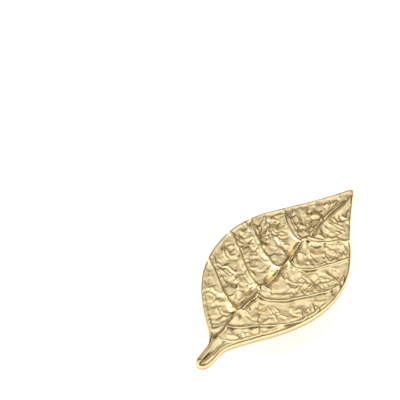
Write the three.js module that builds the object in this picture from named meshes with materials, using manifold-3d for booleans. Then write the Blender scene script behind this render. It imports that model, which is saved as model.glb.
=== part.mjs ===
// Leaf shaped pull for a cabinet door or drawer: one solid casting in polished, satin-toned brass.
// The leaf lies face up on the foot of its round post, so +Z points out of the leaf's face, away from the door,
// +Y points to the leaf's tip, and the origin is the centre of the post's foot, where it meets the door.
// Units are millimetres.
import * as THREE from "three";
import { mergeVertices } from "three/addons/utils/BufferGeometryUtils.js";
import Module from "manifold-3d";

// ---- driving dimensions ----
const RIM_TOP = 21.5; // height of the leaf's rounded rim above the door
const PLATE_BACK = 18.5; // height of the lower edge of the leaf's side wall
const RIM_RADIUS = 1.0; // rounding of the rim's upper edge
const BACK_RADIUS = 0.6; // rounding of the wall's lower edge
const BEAD_DROP = 0.35; // step from the rim's bead down to the leaf's field
const BEAD_WIDTH = 2.0; // how far in from the outline that step ends
const DOME = 0.85; // rise of the field from the margin to the middle
const DOME_REACH = 6.0; // how quickly it rises
const BACK_HOLLOW = 1.2; // depth of the gently hollow back
const MIDRIB_HEIGHT = [1.9, 1.65, 1.5, 1.3, 0.75]; // crest above the field, stem end to tip
const MIDRIB_HALF_WIDTH = 3.4;
const VEIN_HEIGHT = [0.95, 0.85, 0.6]; // side veins, midrib to margin
const VEIN_HALF_WIDTH = 2.2;
const POST_PROFILE = [
  // radius, height above the door: foot, waist and the flare into the leaf's back
  [0, 0],
  [5.6, 0],
  [6.0, 0.4],
  [6.0, 1.7],
  [5.7, 2.2],
  [5.0, 2.8],
  [4.6, 4.0],
  [4.4, 6.5],
  [4.4, 10.5],
  [4.6, 13.5],
  [5.1, 15.9],
  [6.0, 17.9],
  [7.4, 19.4],
  [8.6, 20.0],
  [0, 20.0],
];
const HOLE_PROFILE = [
  // blind M4 hole from the foot: entry chamfer, core of the thread, drill point
  [0, -1.0],
  [2.55, -1.0],
  [2.3, 0],
  [1.65, 0.65],
  [1.65, 12.0],
  [0, 12.95],
];
const WALL_STEP = 1.45; // spacing of the mesh along the outline
const FIELD_STEP = 2.25; // and over the leaf's field
const BACK_STEP = 4.2; // and over its back

// ---- the leaf's outline and veins, seen from above, as points on smooth curves ----
const RIGHT_MARGIN = [
  [1.8, -47.0], [3.3, -46.4], [4.3, -44.6], [4.6, -42.0], [4.6, -38.8], [4.9, -36.6], [5.8, -34.5], [7.3, -32.0],
  [9.6, -28.7], [11.9, -25.4], [14.3, -22.2], [16.5, -18.8], [18.5, -15.3], [20.2, -11.7], [21.6, -7.9], [22.5, -4.0],
  [23.0, 0.0], [23.0, 4.0], [22.6, 8.0], [21.7, 11.9], [20.3, 15.6], [18.4, 19.2], [16.3, 22.6], [14.0, 25.8],
  [11.7, 29.1], [9.5, 32.6], [7.5, 36.0], [5.6, 39.4], [4.0, 42.3], [2.8, 44.6], [1.5, 46.2],
];
const LEFT_MARGIN = [
  [1.8, -47.0], [0.4, -46.6], [-0.5, -45.4], [-0.8, -43.5], [-0.9, -41.3], [-1.1, -38.6], [-1.7, -36.3], [-3.3, -33.9],
  [-6.2, -31.1], [-9.1, -28.3], [-11.9, -25.4], [-14.5, -22.4], [-16.9, -19.2], [-19.0, -15.7], [-20.7, -12.1], [-22.0, -8.3],
  [-22.9, -4.3], [-23.3, -0.3], [-23.3, 3.8], [-22.8, 7.9], [-21.7, 11.9], [-20.2, 15.6], [-18.4, 19.0], [-16.1, 22.3],
  [-13.7, 25.5], [-11.2, 28.8], [-8.8, 31.9], [-6.5, 35.1], [-4.3, 38.3], [-2.3, 41.3], [-0.8, 43.8], [0.3, 45.4],
  [1.5, 46.2],
];
const MIDRIB = [
  [1.9, -46.2], [1.5, -44.0], [1.3, -41.6], [1.1, -38.0], [1.2, -34.5], [1.3, -31.0], [0.9, -27.1], [0.4, -24.0],
  [0.2, -22.4], [0.6, -19.7], [1.3, -16.0], [1.6, -14.0], [1.5, -12.4], [0.9, -10.9], [0.5, -9.4], [1.0, -8.5],
  [1.7, -7.1], [2.1, -5.3], [2.2, -2.8], [2.0, -0.3], [2.2, 2.0], [2.4, 4.4], [2.0, 8.1], [1.5, 12.0], [1.3, 15.5],
  [1.6, 18.2], [1.6, 24.5], [1.7, 30.4], [2.2, 35.7], [2.1, 40.0], [1.7, 44.6],
];
const SIDE_VEINS = [
  [[0.1, -22.4], [-2.1, -21.6], [-5.0, -20.2], [-7.1, -18.5], [-10.7, -16.3], [-14.4, -13.6], [-18.5, -10.4], [-22.0, -7.8]],
  [[0.5, -9.4], [-1.4, -8.5], [-5.2, -6.6], [-8.6, -4.5], [-11.7, -2.1], [-15.2, 0.5], [-19.1, 3.4], [-22.6, 5.3]],
  [[2.1, 1.9], [-0.2, 1.7], [-3.1, 2.3], [-6.2, 3.9], [-9.8, 6.2], [-12.9, 8.3], [-17.0, 11.4], [-20.0, 14.0]],
  [[1.3, 16.0], [-0.2, 15.6], [-3.0, 16.1], [-6.3, 17.9], [-9.1, 20.2], [-12.4, 23.6]],
  [[1.1, -30.0], [1.9, -28.6], [4.5, -26.4], [8.9, -22.9], [12.4, -20.3], [16.2, -17.0], [19.1, -13.6], [21.3, -10.8]],
  [[1.2, -11.6], [2.7, -12.1], [5.6, -11.6], [8.6, -10.1], [11.7, -7.4], [14.4, -4.2], [16.9, -0.8], [19.5, 2.6], [21.5, 6.6]],
  [[2.3, 6.2], [3.4, 5.0], [5.4, 4.8], [8.5, 6.2], [11.2, 8.4], [13.2, 11.4], [15.3, 14.4], [18.2, 18.6]],
  [[1.4, 16.3], [2.9, 17.6], [6.1, 19.0], [8.8, 21.1], [11.2, 23.6], [13.9, 26.0]],
];

const smooth = (points, step) => {
  const curve = new THREE.CatmullRomCurve3(points.map(([x, y]) => new THREE.Vector3(x, y, 0)));
  curve.arcLengthDivisions = 600;
  return curve.getSpacedPoints(Math.max(2, Math.round(curve.getLength() / step))).map((p) => [p.x, p.y]);
};

const fine = [...smooth(RIGHT_MARGIN, 0.35), ...smooth(LEFT_MARGIN, 0.35).reverse().slice(1, -1)];
const midrib = smooth(MIDRIB, 0.9);
const sideVeins = SIDE_VEINS.map((v) => smooth(v, 0.9));

// Distance from (x, y) to a polyline, and how far along it (0 to 1) the nearest point is.
function nearest(x, y, line, closed = false) {
  let best = Infinity,
    at = 0;
  const n = line.length,
    last = closed ? n : n - 1;
  for (let i = 0; i < last; i++) {
    const [ax, ay] = line[i],
      [bx, by] = line[(i + 1) % n];
    const dx = bx - ax,
      dy = by - ay;
    const t = Math.min(1, Math.max(0, ((x - ax) * dx + (y - ay) * dy) / (dx * dx + dy * dy)));
    const d = (x - ax - t * dx) ** 2 + (y - ay - t * dy) ** 2;
    if (d < best) {
      best = d;
      at = (i + t) / last;
    }
  }
  return [Math.sqrt(best), at];
}

function inside(x, y, loop) {
  let odd = false;
  for (let i = 0, j = loop.length - 1; i < loop.length; j = i++) {
    const [ax, ay] = loop[i],
      [bx, by] = loop[j];
    if (ay > y !== by > y && x < ((bx - ax) * (y - ay)) / (by - ay) + ax) odd = !odd;
  }
  return odd;
}

const along = (table, t) => {
  const f = Math.min(t, 0.99999) * (table.length - 1),
    i = Math.floor(f);
  return table[i] + (table[i + 1] - table[i]) * (f - i);
};
const step = (a, b, v) => {
  const t = Math.min(1, Math.max(0, (v - a) / (b - a)));
  return t * t * (3 - 2 * t);
};

// Height of the leaf's face above the door: rounded rim, field that rises towards the middle, and the veins, whose
// flanks hollow out away from a sharp crest and meet in soft valleys.
function faceHeight(x, y) {
  const [d] = nearest(x, y, fine, true);
  const round = d < RIM_RADIUS ? RIM_RADIUS * (1 - Math.sqrt(1 - (1 - d / RIM_RADIUS) ** 2)) : 0;
  let h = RIM_TOP - round - BEAD_DROP * step(RIM_RADIUS, BEAD_WIDTH, d);
  h += DOME * (1 - Math.exp(-Math.max(0, d - RIM_RADIUS) / DOME_REACH));
  let veins = 0;
  const add = (line, heights, width, fade) => {
    const [v, t] = nearest(x, y, line);
    if (v >= width) return;
    veins += (along(heights, t) * (1 - v / width) ** 2 * fade) ** 4;
  };
  add(midrib, MIDRIB_HEIGHT, MIDRIB_HALF_WIDTH, step(0, 1.6, d));
  for (const line of sideVeins) add(line, VEIN_HEIGHT, VEIN_HALF_WIDTH, step(0.4, 1.8, d));
  return h + veins ** 0.25;
}

function backHeight(x, y) {
  const [d] = nearest(x, y, fine, true);
  return PLATE_BACK + BACK_HOLLOW * step(0.8, 9, d);
}

// Delaunay triangles of a set of points, by adding them one at a time.
function delaunay(points) {
  const p = points.map(([x, y], i) => [x + 1e-4 * Math.sin(i * 12.9898), y + 1e-4 * Math.cos(i * 78.233)]);
  const n = p.length;
  p.push([-900, -700], [900, -700], [0, 1200]);
  const circle = (a, b, c) => {
    const [ax, ay] = p[a],
      bx = p[b][0] - ax,
      by = p[b][1] - ay,
      cx = p[c][0] - ax,
      cy = p[c][1] - ay;
    const k = 2 * (bx * cy - by * cx),
      b2 = bx * bx + by * by,
      c2 = cx * cx + cy * cy;
    const x = (cy * b2 - by * c2) / k,
      y = (bx * c2 - cx * b2) / k;
    return { v: [a, b, c], x: x + ax, y: y + ay, r: x * x + y * y };
  };
  let open = [circle(n, n + 1, n + 2)];
  const done = [];
  const order = [...Array(n).keys()].sort((i, j) => p[i][1] - p[j][1]);
  for (const i of order) {
    const [x, y] = p[i];
    const edges = new Map(),
      keep = [];
    for (const t of open) {
      if (t.y < y && (y - t.y) ** 2 > t.r) {
        done.push(t);
        continue;
      }
      if ((x - t.x) ** 2 + (y - t.y) ** 2 > t.r) {
        keep.push(t);
        continue;
      }
      for (const [a, b] of [[t.v[0], t.v[1]], [t.v[1], t.v[2]], [t.v[2], t.v[0]]]) {
        const back = b + "_" + a;
        if (edges.has(back)) edges.delete(back);
        else edges.set(a + "_" + b, [a, b]);
      }
    }
    open = keep;
    for (const [a, b] of edges.values()) open.push(circle(a, b, i));
  }
  return [...done, ...open].map((t) => t.v).filter((v) => v.every((i) => i < n));
}

// Triangles that fill a closed ring of points, with inner points spread over it.
function fill(ring, inner) {
  const points = [...ring, ...inner];
  const tris = delaunay(points).filter((v) => {
    const x = (points[v[0]][0] + points[v[1]][0] + points[v[2]][0]) / 3,
      y = (points[v[0]][1] + points[v[1]][1] + points[v[2]][1]) / 3;
    return inside(x, y, ring);
  });
  return tris.map(([a, b, c]) => {
    const [ax, ay] = points[a],
      [bx, by] = points[b],
      [cx, cy] = points[c];
    return (bx - ax) * (cy - ay) - (by - ay) * (cx - ax) > 0 ? [a, b, c] : [a, c, b];
  });
}

// ---- the leaf plate ----
const right = smooth(RIGHT_MARGIN, WALL_STEP),
  left = smooth(LEFT_MARGIN, WALL_STEP);
const outline = [...right, ...left.slice(1, -1).reverse()]; // anticlockwise, seen from above
const N = outline.length;
// inward direction at each point, and the room there is before the opposite margin
const inward = outline.map((p, i) => {
  const a = outline[(i + N - 1) % N],
    b = outline[(i + 1) % N];
  const l = Math.hypot(b[0] - a[0], b[1] - a[1]);
  return [-(b[1] - a[1]) / l, (b[0] - a[0]) / l];
});
for (let pass = 0; pass < 3; pass++) {
  const next = inward.map((v, i) => {
    const a = inward[(i + N - 1) % N],
      b = inward[(i + 1) % N];
    const x = a[0] + 2 * v[0] + b[0],
      y = a[1] + 2 * v[1] + b[1],
      l = Math.hypot(x, y);
    return [x / l, y / l];
  });
  next.forEach((v, i) => (inward[i] = v));
}
const room = outline.map(([x, y], i) => {
  let far = 0.1;
  while (far < 12 && inside(x + inward[i][0] * far, y + inward[i][1] * far, outline)) far += 0.1;
  return far;
});
for (let pass = 0; pass < 4; pass++)
  for (let i = 0; i < N; i++) room[i] = Math.min(room[i], room[(i + 1) % N] + 1.6, room[(i + N - 1) % N] + 1.6);
const inset = (distance) =>
  outline.map(([x, y], i) => {
    const d = Math.min(distance, 0.28 * room[i]);
    return [x + inward[i][0] * d, y + inward[i][1] * d];
  });

const vertices = [],
  faces = [];
const addRing = (ring, height) => {
  const first = vertices.length;
  ring.forEach((p) => vertices.push([p[0], p[1], typeof height === "number" ? height : height(p[0], p[1])]));
  return first;
};
const band = (lower, upper) => {
  for (let i = 0; i < N; i++) {
    const j = (i + 1) % N;
    faces.push([lower + i, lower + j, upper + j], [lower + i, upper + j, upper + i]);
  }
};
// rings up the wall and over the rim, from the back's edge to the field's edge
const backRing = addRing(inset(BACK_RADIUS * 1.4), backHeight);
const lowRing = addRing(inset(BACK_RADIUS * 0.35), PLATE_BACK + BACK_RADIUS * 0.3);
const wallLow = addRing(outline, PLATE_BACK + BACK_RADIUS);
const wallHigh = addRing(outline, RIM_TOP - RIM_RADIUS);
const rimRing = addRing(inset(RIM_RADIUS * 0.35), faceHeight);
const beadRing = addRing(inset(RIM_RADIUS * 1.05), faceHeight);
const fieldPoints = inset(BEAD_WIDTH);
const fieldRing = addRing(fieldPoints, faceHeight);
band(backRing, lowRing);
band(lowRing, wallLow);
band(wallLow, wallHigh);
band(wallHigh, rimRing);
band(rimRing, beadRing);
band(beadRing, fieldRing);

// points of the field: along each crest and beside it, then an even spread between
const inner = [];
const put = (x, y, gap, edge) => {
  if (!inside(x, y, fieldPoints) || nearest(x, y, fieldPoints, true)[0] < edge) return;
  if (inner.some((q) => (q[0] - x) ** 2 + (q[1] - y) ** 2 < gap * gap)) return;
  inner.push([x, y]);
};
const beside = (line, spacing, offsets, gap) => {
  const pts = smooth(line, spacing);
  for (const offset of offsets)
    pts.forEach((p, i) => {
      const a = pts[Math.max(0, i - 1)],
        b = pts[Math.min(pts.length - 1, i + 1)];
      const l = Math.hypot(b[0] - a[0], b[1] - a[1]);
      put(p[0] - ((b[1] - a[1]) / l) * offset, p[1] + ((b[0] - a[0]) / l) * offset, offset === 0 ? gap * 0.7 : gap, 0.35);
    });
};
beside(MIDRIB, 1.15, [0], 0.8);
for (const line of SIDE_VEINS) beside(line, 1.25, [0], 0.8);
beside(MIDRIB, 1.3, [0.8, -0.8, 1.8, -1.8], 0.7);
for (const line of SIDE_VEINS) beside(line, 1.5, [0.75, -0.75], 0.65);
for (let r = 0, y = -48; y < 48; y += FIELD_STEP * 0.866, r++)
  for (let x = -24 + (r % 2) * FIELD_STEP * 0.5; x < 24; x += FIELD_STEP) put(x, y, FIELD_STEP * 0.62, FIELD_STEP * 0.45);
const faceFirst = vertices.length;
inner.forEach(([x, y]) => vertices.push([x, y, faceHeight(x, y)]));
for (const t of fill(fieldPoints, inner)) faces.push(t.map((i) => (i < N ? fieldRing + i : faceFirst + i - N)));

// the back: a coarser spread, turned to face down
const backPoints = inset(BACK_RADIUS * 1.4);
const backInner = [];
for (let r = 0, y = -48; y < 48; y += BACK_STEP * 0.866, r++)
  for (let x = -24 + (r % 2) * BACK_STEP * 0.5; x < 24; x += BACK_STEP)
    if (inside(x, y, backPoints) && nearest(x, y, backPoints, true)[0] > BACK_STEP * 0.4) backInner.push([x, y]);
const backFirst = vertices.length;
backInner.forEach(([x, y]) => vertices.push([x, y, backHeight(x, y)]));
for (const [a, b, c] of fill(backPoints, backInner))
  faces.push([a, c, b].map((i) => (i < N ? backRing + i : backFirst + i - N)));

const plate = new THREE.BufferGeometry()
  .setAttribute("position", new THREE.BufferAttribute(new Float32Array(vertices.flat()), 3))
  .setIndex(faces.flat());

// ---- the post and its hole, joined and cut as solids ----
const turned = (profile, segments) => {
  const g = new THREE.LatheGeometry(profile.map(([r, z]) => new THREE.Vector2(r, z)), segments);
  return g.rotateX(Math.PI / 2);
};
const wasm = await Module();
wasm.setup();
const solid = (geometry) => {
  const g = geometry.clone();
  g.deleteAttribute("normal");
  g.deleteAttribute("uv");
  const m = mergeVertices(g, 1e-4);
  const tri = new Uint32Array(m.index.array);
  const make = () =>
    new wasm.Manifold(
      new wasm.Mesh({ numProp: 3, vertProperties: new Float32Array(m.attributes.position.array), triVerts: tri }),
    );
  let s = make();
  if (s.volume() < 0) {
    for (let i = 0; i < tri.length; i += 3) [tri[i + 1], tri[i + 2]] = [tri[i + 2], tri[i + 1]];
    s = make();
  }
  return s;
};
const body = solid(plate).add(solid(turned(POST_PROFILE, 40))).subtract(solid(turned(HOLE_PROFILE, 28)));
const result = body.getMesh();
const geometry = new THREE.BufferGeometry()
  .setAttribute("position", new THREE.BufferAttribute(new Float32Array(result.vertProperties), 3))
  .setIndex(new THREE.BufferAttribute(new Uint32Array(result.triVerts), 1));
geometry.computeVertexNormals();

const leafPull = new THREE.Mesh(
  geometry,
  new THREE.MeshStandardMaterial({ color: new THREE.Color(0.83, 0.7, 0.42), metalness: 1.0, roughness: 0.26 }),
);
leafPull.name = "leaf_pull";

const group = new THREE.Group();
group.add(leafPull);
export default group;
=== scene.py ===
# Leaf shaped pull: the fine casting, its finish, the studio and the camera.
import bpy, math
import numpy as np
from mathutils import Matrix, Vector
from mathutils.geometry import delaunay_2d_cdt


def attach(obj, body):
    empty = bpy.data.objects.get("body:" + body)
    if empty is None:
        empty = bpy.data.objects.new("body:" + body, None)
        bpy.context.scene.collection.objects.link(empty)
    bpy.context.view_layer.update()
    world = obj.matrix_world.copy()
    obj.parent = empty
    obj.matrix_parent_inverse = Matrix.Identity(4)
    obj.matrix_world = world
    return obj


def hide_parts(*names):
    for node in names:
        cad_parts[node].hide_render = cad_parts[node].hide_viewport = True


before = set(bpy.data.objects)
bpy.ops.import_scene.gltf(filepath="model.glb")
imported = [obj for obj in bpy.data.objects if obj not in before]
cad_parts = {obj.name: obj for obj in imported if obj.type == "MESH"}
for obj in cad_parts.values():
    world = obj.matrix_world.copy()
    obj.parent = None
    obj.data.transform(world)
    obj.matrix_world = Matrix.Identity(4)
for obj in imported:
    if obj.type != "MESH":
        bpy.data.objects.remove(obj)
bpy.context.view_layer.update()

# ---------------------------------------------------------------- camera
AZ, EL = math.radians(35.111), math.radians(49.700)
right = Vector((math.cos(AZ), math.sin(AZ), 0))          # to the right in the picture
near = Vector((math.sin(AZ), -math.cos(AZ), 0))          # along the floor, towards the camera
back = near * math.cos(EL) + Vector((0, 0, math.sin(EL)))
cam_data = bpy.data.cameras.new("camera")
cam_data.lens, cam_data.sensor_width, cam_data.sensor_fit = 314, 36, "HORIZONTAL"
cam_data.clip_start, cam_data.clip_end = 0.05, 20
camera = bpy.data.objects.new("camera", cam_data)
bpy.context.scene.collection.objects.link(camera)
camera.location = Vector((-0.039206, 0.012240, 0.0206)) + back * 1.2
camera.rotation_euler = back.to_track_quat("Z", "Y").to_euler()
bpy.context.scene.camera = camera

# ---------------------------------------------------------------- the leaf's shape, millimetres
# the same outline, heights and post as the solid
RIM_TOP, PLATE_BACK, RIM_RADIUS, BACK_RADIUS = 21.5, 18.5, 1.0, 0.6
BEAD_DROP, BEAD_WIDTH, DOME, DOME_REACH, BACK_HOLLOW = 0.35, 2.0, 0.85, 6.0, 1.2
RIGHT_MARGIN = [
    (1.8, -47.0), (3.3, -46.4), (4.3, -44.6), (4.6, -42.0), (4.6, -38.8), (4.9, -36.6), (5.8, -34.5), (7.3, -32.0),
    (9.6, -28.7), (11.9, -25.4), (14.3, -22.2), (16.5, -18.8), (18.5, -15.3), (20.2, -11.7), (21.6, -7.9), (22.5, -4.0),
    (23.0, 0.0), (23.0, 4.0), (22.6, 8.0), (21.7, 11.9), (20.3, 15.6), (18.4, 19.2), (16.3, 22.6), (14.0, 25.8),
    (11.7, 29.1), (9.5, 32.6), (7.5, 36.0), (5.6, 39.4), (4.0, 42.3), (2.8, 44.6), (1.5, 46.2)]
LEFT_MARGIN = [
    (1.8, -47.0), (0.4, -46.6), (-0.5, -45.4), (-0.8, -43.5), (-0.9, -41.3), (-1.1, -38.6), (-1.7, -36.3), (-3.3, -33.9),
    (-6.2, -31.1), (-9.1, -28.3), (-11.9, -25.4), (-14.5, -22.4), (-16.9, -19.2), (-19.0, -15.7), (-20.7, -12.1), (-22.0, -8.3),
    (-22.9, -4.3), (-23.3, -0.3), (-23.3, 3.8), (-22.8, 7.9), (-21.7, 11.9), (-20.2, 15.6), (-18.4, 19.0), (-16.1, 22.3),
    (-13.7, 25.5), (-11.2, 28.8), (-8.8, 31.9), (-6.5, 35.1), (-4.3, 38.3), (-2.3, 41.3), (-0.8, 43.8), (0.3, 45.4),
    (1.5, 46.2)]
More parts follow.
